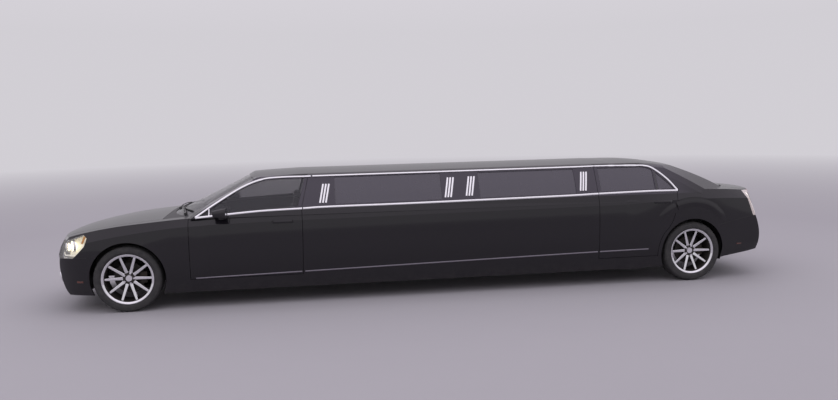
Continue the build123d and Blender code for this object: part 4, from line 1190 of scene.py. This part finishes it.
@dataclass
class Fittings:
    """Small outside parts: plate, lid strip, mirror glass, wipers, pipes' ends and the painted highlight
    along the sill.
    """

    skin: Skin
    glass: Skin
    car: Car
    plate: tuple = (1.1005, 1.1025, 0.152, 0.856, 1.004)
    plate_bars: tuple = ((-0.160, 0.160, 1.002, 1.010), (-0.160, 0.160, 0.850, 0.858),
                         (-0.160, -0.152, 0.850, 1.010), (0.152, 0.160, 0.850, 1.010))
    sill: tuple = ((-2.72, 0.339), (1.472, 0.409), (2.60, 0.420))
    sill_parts: tuple = (("front_door", -2.72, -1.536), ("body", -1.520, 1.964), ("rear_door", 1.978, 2.60))
    mirror: Point = (-2.3545, -1.022, 1.058)
    mirror_half: Pair = (0.076, 0.046)
    lid_strip: Pair = (0.33, 1.035)
    screen_foot: Point = (0.4, 0.21, 0.72)
    wipers: tuple = ((-0.66, -0.04, -0.62), (0.02, 0.60, 0.06))
    blade_back: float = 0.115
    arm_back: float = 0.045
    arm_line: tuple = ((0.0, 0.012), (0.3, 0.03), (0.7, 0.026), (1.0, 0.010))
    knob: tuple = ((0.0, 0.024), (0.014, 0.022), (0.018, 0.014), (0.018, -0.012))
    pipe_y: float = 0.35
    sleeve: tuple = ((0.0305, -0.085), (0.0345, -0.083), (0.0355, -0.004), (0.0335, 0.001), (0.0300, 0.000),
                     (0.0285, -0.006))

    def build(self) -> None:
        """Make and place them all."""
        self._plate()
        half, z = self.lid_strip
        lid = [self.skin.hit(Vector((6.0, -half + 0.03 * i, z)), TO_NOSE) for i in range(23)]
        Shape().sweep(lid, rounded(0.022, 0.006, 0.003)).piece("lid_strip", CHROME, "boot_lid")
        self._wipers()
        mounts = {mount["name"]: mount["pos_m"] for mount in frame["record"]["mounts"]}
        pipe_x, pipe_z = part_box("propshaft_and_exhaust")[1].x, mounts["exhaust_tip_left"][2]
        for side in Side:
            self._mirror_glass(side)
            self._sill(side)
            end = Vector((pipe_x, side.value * self.pipe_y, pipe_z))
            Shape().lathe(self.sleeve, end, TO_REAR, 40).piece(f"exhaust_sleeve_{side.word}", CHROME)

    def _plate(self) -> None:
        """A blank number plate and its frame on the boot lid."""
        near, far, half, foot, top = self.plate
        near, far = self.car.rear_x + near, self.car.rear_x + far
        Shape().block((near, -half, foot), (far, half, top)).bevel(0.0008, 2).piece(
            "number_plate", PLATE, "boot_lid")
        rim, face = Shape(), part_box("boot_lid")[1].x
        for y0, y1, z0, z1 in self.plate_bars:
            rim.block((near, y0, z0), (min(near + 0.005, face), y1, z1))
        rim.piece("number_plate_frame", CHROME, "boot_lid", smooth=None)

    def _wipers(self) -> None:
        """Two wipers at the windscreen's foot, each a blade, an arm and a pivot."""
        for i, (start, end, pivot) in enumerate(self.wipers):
            blade = [self._on_screen(start + (end - start) * k / 14, self.blade_back) for k in range(15)]
            blade = [(point + normal * 0.010, normal) for point, normal in blade]
            Shape().sweep(blade, rounded(0.010, 0.008, 0.008)).piece(f"wiper_blade_{i + 1}", SEAL)
            foot, up = self._on_screen(pivot, self.arm_back)
            middle = blade[7][0]
            arm = [(foot.lerp(middle, share) + up * lift, up) for share, lift in self.arm_line]
            Shape().sweep(arm, rounded(0.014, 0.006, 0.003)).piece(f"wiper_arm_{i + 1}", BLACK)
            Shape().lathe(self.knob, foot, up, 20).piece(f"wiper_pivot_{i + 1}", BLACK)

    def _on_screen(self, y: float, back: float) -> Spot:
        """A point of the windscreen or cowl at some way across, back from the screen's foot line."""
        start, bend, half = self.screen_foot
        foot = self.car.front_x + start + bend * (y / half) ** 2
        return self.glass.hit(Vector((foot + back, y, 2.0)), DOWN)

    def _mirror_glass(self, side: Side) -> None:
        """Lay the glass in a door mirror's shell.

        Args:
            side: The mirror's side.
        """
        x, y, z = self.mirror
        wide, high = self.mirror_half
        outline = [(y + math.copysign(abs(a) ** 0.5, a) * wide, z + math.copysign(abs(b) ** 0.5, b) * high)
                   for a, b in circle(40)]
        shape = Shape()
        shape.skin([shape.ring((x + dx, *corner) for corner in outline) for dx in (-0.001, 0.003)])
        shape.piece("mirror_glass", MIRROR, "front_door", side, None)

    def _sill(self, side: Side) -> None:
        """Lay a dull metal strip along the sill's crease, a painted highlight where the paint catches the
        light, cut at each door.

        Args:
            side: The side it lies on.
        """
        for word, start, end in self.sill_parts:
            line = [(x, z) for x, z in smooth_line(self.sill, 0.01) if start <= x <= end]
            Shape().sweep(self.skin.run(line[:-1:6] + line[-1:]), rounded(0.014, 0.0035, 0.002)).piece(
                f"sill_crease_{word}", SILL_HIGHLIGHT, word, side)


@dataclass
class Cushion:
    """One stuffed pad: a rounded block that cloth simulation swells into a crowned form."""

    size: Point
    channels: tuple = ()
    voxel: float = 0.012
    pressure: float = 4.0
    frames: int = 20
    swell: float = 0.016
    groove: Pair = (0.007, 0.006)
    seam: Pair = (0.004, 0.0025)

    def mesh(self) -> bpy.types.Mesh:
        """Returns:
            The mesh about the pad's own centre.
        """
        shape = bmesh.new()
        bmesh.ops.create_cube(shape, size=1.0)
        begin = [s - self.swell * 1.7 for s in self.size]
        bmesh.ops.scale(shape, vec=begin, verts=shape.verts)
        bmesh.ops.bevel(shape, geom=list(shape.edges), offset=min(begin) * 0.3, segments=3, affect="EDGES",
                        profile=0.5)
        holder = add_object("cushion", shape)
        self._apply(holder, "REMESH", mode="VOXEL", voxel_size=self.voxel)
        self._inflate(holder)
        self._sew(holder.data)
        self._apply(holder, "SUBSURF", levels=1)
        data = holder.data
        bpy.data.objects.remove(holder)
        for polygon in data.polygons:
            polygon.use_smooth = True
        return data

    def _apply(self, holder: bpy.types.Object, kind: str, **settings: object) -> None:
        """Add one modifier, take its result as the mesh and drop it.

        Args:
            holder: The pad.
            kind: The modifier's type.
            settings: The modifier's properties.
        """
        modifier = holder.modifiers.new(kind.lower(), kind)
        for key, value in settings.items():
            setattr(modifier, key, value)
        found = holder.evaluated_get(bpy.context.evaluated_depsgraph_get())
        data = bpy.data.meshes.new_from_object(found)
        holder.modifiers.clear()
        holder.data = data

    def _inflate(self, holder: bpy.types.Object) -> None:
        """Blow the pad up for some frames, with each point's way capped.

        Args:
            holder: The pad.
        """
        before = [vert.co.copy() for vert in holder.data.vertices]
        cloth = holder.modifiers.new("cloth", "CLOTH")
        cloth.settings.use_pressure = True
        cloth.settings.uniform_pressure_force = self.pressure
        cloth.settings.effector_weights.gravity = 0.0
        scene = bpy.context.scene
        for number in range(1, self.frames + 1):
            scene.frame_set(number)
        found = holder.evaluated_get(bpy.context.evaluated_depsgraph_get())
        after = [vert.co.copy() for vert in found.data.vertices]
        holder.modifiers.clear()
        scene.frame_set(1)
        for vert, old, new in zip(holder.data.vertices, before, after):
            way = new - old
            vert.co = old + way * min(1.0, self.swell / max(way.length, 1e-6))

    def _sew(self, data: bpy.types.Mesh) -> None:
        """Draw the channels in, and the seam round the pad's edge.

        Args:
            data: The pad's mesh.
        """
        thin = self.size.index(min(self.size))
        edge = self.size[thin] * 0.24
        lines = [(axis, place, *self.groove) for axis, place in self.channels]
        lines += [(thin, edge, *self.seam), (thin, -edge, *self.seam)]
        moved = []
        for vert in data.vertices:
            depth = sum(deep * math.exp(-((vert.co[axis] - place) / width) ** 2)
                        for axis, place, width, deep in lines)
            moved.append(vert.co - vert.normal * depth)
        for vert, place in zip(data.vertices, moved):
            vert.co = place


@dataclass
class Upholstery:
    """The front seats, the long side bench and the rear seat."""

    floor: float = 0.237
    coarse: float = 0.014
    posts: tuple = ((0.0, 0.0), (0.006, 0.0), (0.006, 0.09), (0.0, 0.09))

    def build(self) -> None:
        """Make each pad once and set its copies."""
        self._front()
        self._bench()
        self._rear()

    def _set(self, data: bpy.types.Mesh, name: str, node: str, place: Point, turn: float = 0.0,
             axis: str = "Y") -> None:
        """Place one copy of a pad.

        Args:
            data: The pad's mesh about its own centre.
            name: The piece's name.
            node: The plain solid that it stands for.
            place: Where its centre goes.
            turn: Its lean in degrees.
            axis: The axis that it leans about.
        """
        copy = data.copy()
        copy.transform(Matrix.Translation(place) @ Matrix.Rotation(math.radians(turn), 4, axis))
        copy.materials.clear()
        copy.materials.append(HIDE.material())
        pad = add_object(name, copy)
        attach(pad, "body")
        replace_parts(pad, node)
        log.info("cushion %s: %d faces", name, len(copy.polygons))

    def _shell(self, name: str, node: str, low: Point, high: Point, bevel: float = 0.02) -> None:
        """A moulded plinth or shell between two corners, under or behind a node's pads."""
        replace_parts(Shape().block(low, high).bevel(bevel).piece(name, TRIM), node)

    def _front(self) -> None:
        """Two seats, each with a pan, a back and a headrest on posts."""
        pan = Cushion((0.49, 0.48, 0.125), ((1, -0.15), (1, 0.15), (0, 0.09))).mesh()
        back = Cushion((0.125, 0.47, 0.53), ((1, -0.145), (1, 0.145), (2, -0.08), (2, 0.12))).mesh()
        rest = Cushion((0.085, 0.25, 0.14), (), 0.008, swell=0.01).mesh()
        for side in Side:
            y, word = side.value * 0.39, side.word
            for part, pad, x, z, lean in (("seat_pan", pan, -1.885, 0.450, 3.5),
                                          ("seat_back", back, -1.664, 0.762, 13.0),
                                          ("headrest", rest, -1.592, 1.108, 6.0)):
                self._set(pad, f"front_{part}_{word}", "front_seats", (x, y, z), lean)
            self._shell(f"front_seat_base_{word}", "front_seats", (-2.07, y - 0.215, self.floor),
                        (-1.69, y + 0.215, 0.40))
            posts = Shape()
            for across in (-0.06, 0.06):
                posts.lathe(self.posts, Vector((-1.600, y + across, 0.985)), Vector((0.02, 0, 1)), 12)
            posts.piece(f"front_headrest_posts_{word}", CHROME)

    def _bench(self) -> None:
        """Three pans and three backs along the left side."""
        low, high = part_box("side_bench")
        share = (high.x - low.x) / 3
        folds = tuple((0, share * t) for t in (-0.25, 0.0, 0.25))
        pan, back = (Cushion((share - 0.006, *size), folds, self.coarse).mesh()
                     for size in ((0.33, 0.125), (0.10, 0.34)))
        for i in range(3):
            x = low.x + share * (i + 0.5)
            self._set(pan, f"bench_pan_{i + 1}", "side_bench", (x, low.y + 0.306, 0.586))
            self._set(back, f"bench_back_{i + 1}", "side_bench", (x, low.y + 0.082, 0.805), 11.0, "X")
        start, end, wall = low.x + 0.01, high.x - 0.01, low.y
        self._shell("bench_base", "side_bench", (start, wall + 0.012, self.floor),
                    (end, wall + 0.425, 0.522))
        self._shell("bench_back_shell", "side_bench", (start, wall + 0.004, 0.522),
                    (end, wall + 0.028, 0.96), 0.008)

    def _rear(self) -> None:
        """Two pans and two backs across the rear."""
        low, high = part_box("rear_seat")
        half = high.y
        folds = ((1, -0.16), (1, 0.0), (1, 0.16))
        pan, back = (Cushion((deep, half - 0.006, tall), folds, self.coarse).mesh()
                     for deep, tall in ((0.44, 0.125), (0.12, 0.45)))
        for side in Side:
            y = side.value * half / 2
            self._set(pan, f"rear_seat_pan_{side.word}", "rear_seat", (low.x + 0.235, y, 0.533), 2.5)
            self._set(back, f"rear_seat_back_{side.word}", "rear_seat", (low.x + 0.525, y, 0.795), 11.5)
        self._shell("rear_seat_base", "rear_seat", (low.x + 0.05, -half + 0.03, 0.4215),
                    (low.x + 0.50, half - 0.03, 0.475), 0.01)


@dataclass
class Cabin:
    """Details of the dashboard and the doors' linings, and the mesh in the bumper's intake."""

    skin: Skin
    lining_y: float = -0.811
    linings: tuple = (("front_door", -2.15, -1.70), ("rear_door", 2.12, 2.58))
    vents: tuple = (-0.70, -0.185, 0.205, 0.70)
    vent_z: float = 0.915
    vent: tuple = ((0.036, -0.012), (0.036, 0.004), (0.040, 0.007), (0.044, 0.004), (0.044, -0.012))
    bar: tuple = ((0.008, 0.006), (-0.008, 0.006), (-0.008, -0.006), (0.008, -0.006))
    intake: Point = (0.50, 0.305, 0.385)
    intake_rows: int = 4
    intake_columns: int = 25

    def build(self) -> None:
        """Make and place them all."""
        self._dash()
        for side in Side:
            for door, start, end in self.linings:
                self._lining(door, start, end, side)
        self._mesh()

    def _dash(self) -> None:
        """Instrument hood, screen, vents and the line of veneer on the dashboard."""
        for name, low, high, bevel, segments, finish in (
            ("instrument_hood", (-2.60, -0.53, 0.950), (-2.492, -0.25, 1.0), 0.018, 4, TRIM),
            ("screen", (-2.520, -0.11, 0.893), (-2.498, 0.13, 0.958), 0.004, 3, GLOSS),
            ("dash_veneer", (-2.53, -0.74, 0.820), (-2.494, 0.74, 0.845), 0.004, 3, Veneer()),
        ):
            Shape().block(low, high).bevel(bevel, segments).piece(name, finish)
        rings, slats = Shape(), Shape()
        for y in self.vents:
            rings.lathe(self.vent, Vector((-2.500, y, self.vent_z)), Vector((1, 0, 0.35)), 32)
            for k in (-1, 0, 1):
                z = self.vent_z + 0.016 * k
                slats.block((-2.512, y - 0.033, z - 0.002), (-2.498, y + 0.033, z + 0.002))
        rings.piece("vent_rings", CHROME)
        slats.piece("vent_slats", BLACK, smooth=None)

    def _lining(self, door: str, start: float, end: float, side: Side) -> None:
        """Lay armrest, pocket and pull on a door's inside.

        Args:
            door: The door.
            start: Where the armrest begins.
            end: Where it ends.
            side: The door's side.
        """
        y = self.lining_y
        for word, inset, depth, foot, top, bevel, segments, finish in (
            ("armrest", 0.0, 0.042, 0.600, 0.650, 0.014, 4, HIDE),
            ("door_pocket", 0.05, 0.022, 0.360, 0.460, 0.009, 3, TRIM),
        ):
            block = Shape().block((start + inset, y - 0.002, foot), (end - inset, y + depth, top))
            block.bevel(bevel, segments).piece(f"{word}_{door}", finish, door, side)
        pull = [(Vector((start + 0.06 + 0.02 * i, y + 0.03 * math.sin(math.pi * i / 6), 0.80)), UP)
                for i in range(7)]
        Shape().sweep(pull, self.bar).piece(f"door_pull_{door}", CHROME, door, side)

    def _mesh(self) -> None:
        """Crossed bars set back in the front bumper's intake."""
        half, low, high = self.intake
        rows, columns = self.intake_rows - 1, self.intake_columns - 1
        shape = Shape()
        spots = [self.skin.hit(Vector((-6.0, half * (2 * i / columns - 1), 0.425)), TO_REAR)[0]
                 for i in range(columns + 1)]
        for k in range(rows + 1):
            z = low + (high - low) * k / rows
            shape.sweep([(Vector((p.x + 0.05, p.y, z)), UP) for p in spots], rounded(0.006, 0.003, 0.003))
        for p in spots:
            shape.block((p.x + 0.048, p.y - 0.002, low), (p.x + 0.052, p.y + 0.002, high))
        shape.piece("intake_mesh", BLACK, smooth=None)


@dataclass
class Tyres:
    """Tyres with grooved tread, block edges and ribbed sidewalls in place of the plain ones."""

    car: Car
    steps: int = 120
    groove: float = 0.007
    grooves: Pair = (0.055, 0.02)
    wall: tuple = ((0.2565, 0.1035), (0.278, 0.1055), (0.284, 0.1125), (0.290, 0.1135), (0.296, 0.119),
                   (0.318, 0.1225), (0.334, 0.1195), (0.340, 0.1195), (0.350, 0.1115), (0.3555, 0.104),
                   (0.3575, 0.098), (0.3605, 0.094))
    shoulder: float = 0.354
    blocks: Pair = (0.07, 0.1)
    press: float = 0.006

    def build(self) -> None:
        """One tyre on each wheel."""
        for end, x in (("front", self.car.front_x), ("rear", self.car.rear_x)):
            for side in Side:
                centre = Vector((x, side.value * self.car.wheel_y, self.car.axle_z))
                tyre = Shape().lathe(self._profile(), centre, TO_RIGHT, self.steps, True)
                self._sipes(tyre, centre)
                name = f"tyre_{end}_{side.word}"
                tyre = tyre.piece(f"{name}_tread", RUBBER, f"wheel_{end}_{side.word}", smooth=0.5)
                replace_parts(tyre, name)

    def _profile(self) -> list[Pair]:
        """Draw the tyre's outline, with four grooves.

        Returns:
            Corners as (radius, across).
        """
        top = self.car.tyre
        half = [*self.wall, (top - 0.0024, 0.076)]
        for centre in self.grooves:
            for place, depth in ((0.006, 0.0), (0.0045, self.groove), (-0.0045, self.groove), (-0.006, 0.0)):
                across = centre + place
                half.append((top - 0.3 * across ** 2 - depth, across))
        return half + [(r, -a) for r, a in reversed(half)]

    def _sipes(self, tyre: Shape, centre: Vector) -> None:
        """Press every third ring of the shoulders in, so that the tread breaks into blocks.

        Args:
            tyre: The tyre.
            centre: The wheel's centre.
        """
        for vert in tyre.mesh.verts:
            arm = vert.co - centre
            radius = math.hypot(arm.x, arm.z)
            turn = round(math.atan2(arm.z, arm.x) / (2 * math.pi) * self.steps)
            if radius > self.shoulder and self.blocks[0] < abs(arm.y) < self.blocks[1] and turn % 3 == 0:
                shrink = (radius - self.press) / radius
                vert.co = centre + Vector((arm.x * shrink, arm.y, arm.z * shrink))


@dataclass
class Studio:
    """Floor, light and camera."""

    place: Point = (-1.5502, -9.3038, 1.9763)
    yaw: float = 9.122
    pitch: float = 5.776
    roll: float = -1.166
    lens: float = 32.01
    sensor: float = 36.0
    clip: float = 200.0
    floor_radius: float = 80.0
    overhead: Colour = (0.96, 0.9, 1.0)
    rise: Pair = (0.12, 0.75)
    lamps: tuple = (("top_light", (0.0, -1.0, 7.5), (0, 0, 0), (14.0, 6.0), 190.0),
                    ("key_light", (-9.0, -9.5, 7.5), (-0.5, 0, 0.6), (10.0, 6.0), 240.0),
                    ("fill_light", (9.5, -8.0, 6.5), (1.0, 0, 0.6), (8.0, 5.0), 110.0),
                    ("back_light", (0.0, 9.0, 6.5), (0, 0, 0.7), (12.0, 4.0), 120.0))

    def build(self) -> None:
        """Set the whole stage."""
        self._floor()
        self._world()
        for lamp in self.lamps:
            self._lamp(*lamp)
        self._camera()
        bpy.context.scene.view_settings.view_transform = "Standard"

    def _floor(self) -> None:
        """A wide pale disc."""
        shape = bmesh.new()
        bmesh.ops.create_circle(shape, cap_ends=True, segments=96, radius=self.floor_radius)
        floor = add_object("floor", shape)
        floor.data.materials.append(Ground().material())
        floor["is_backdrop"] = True

    def _world(self) -> None:
        """A pale backdrop that brightens overhead."""
        world = bpy.context.scene.world = bpy.data.worlds.new("studio")
        graph = Graph(world)
        height = graph.axes(graph.add("ShaderNodeTexCoord", {}, "Generated"))[2]
        low, high = (graph.add("ShaderNodeBackground", {"Color": colour, "Strength": 1.0})
                     for colour in (Ground.backdrop, self.overhead))
        graph.add("ShaderNodeOutputWorld", {"Surface": graph.mix(height.ramp(*self.rise), low, high)})

    def _lamp(self, name: str, place: Point, aim: Point, size: Pair, power: float) -> None:
        """Hang a broad soft lamp.

        Args:
            name: Its name.
            place: Where it hangs.
            aim: The point it shines at.
            size: Its width and height.
            power: Its power in watts.
        """
        lamp = bpy.data.lights.new(name, "AREA")
        lamp.shape = "RECTANGLE"
        lamp.size, lamp.size_y = size
        lamp.energy = power
        holder = add_object(name, lamp)
        holder.location = place
        holder.visible_glossy = False
        holder.rotation_euler = (Vector(aim) - Vector(place)).to_track_quat("-Z", "Y").to_euler()

    def _camera(self) -> None:
        """The camera at the photograph's angle."""
        yaw, pitch, roll = (math.radians(a) for a in (self.yaw, self.pitch, self.roll))
        ahead = Vector((math.sin(yaw) * math.cos(pitch), math.cos(yaw) * math.cos(pitch), -math.sin(pitch)))
        level = Vector((math.cos(yaw), -math.sin(yaw), 0))
        upright = level.cross(ahead)
        right = level * math.cos(roll) + upright * math.sin(roll)
        up = upright * math.cos(roll) - level * math.sin(roll)
        camera = bpy.data.cameras.new("camera")
        camera.lens, camera.sensor_width, camera.clip_end = self.lens, self.sensor, self.clip
        holder = add_object("camera", camera)
        turn = Matrix((right, up, -ahead)).transposed().to_4x4()
        holder.matrix_world = Matrix.Translation(self.place) @ turn
        bpy.context.scene.camera = holder


def main() -> None:
    """Build and dress the limousine, then the studio."""
    logging.basicConfig(level=logging.INFO, format="%(name)s: %(message)s")
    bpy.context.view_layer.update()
    car = Car.measured()
    outside = Skin("side_frame_left", "front_door_left", "rear_door_left", "front_fenders", "front_bumper",
                   "rear_bumper", "roof_panel", "front_door_glass_left", "rear_door_glass_left",
                   "tinted_glass", "front_lamps", "tail_lamps", "hood", "boot_lid", "cowl")
    Dressing(car).apply()
    BeltTrim(outside).build()
    Haunches(outside).build()
    Seams(outside, car).build()
    Handles(outside).build()
    Lamps(outside, Skin("front_lamps"), car).build()
    Fittings(outside, Skin("windscreen", "cowl", "hood"), car).build()
    Upholstery().build()
    Cabin(outside).build()
    Tyres(car).build()
    Studio().build()


if __name__ == "__main__":
    main()
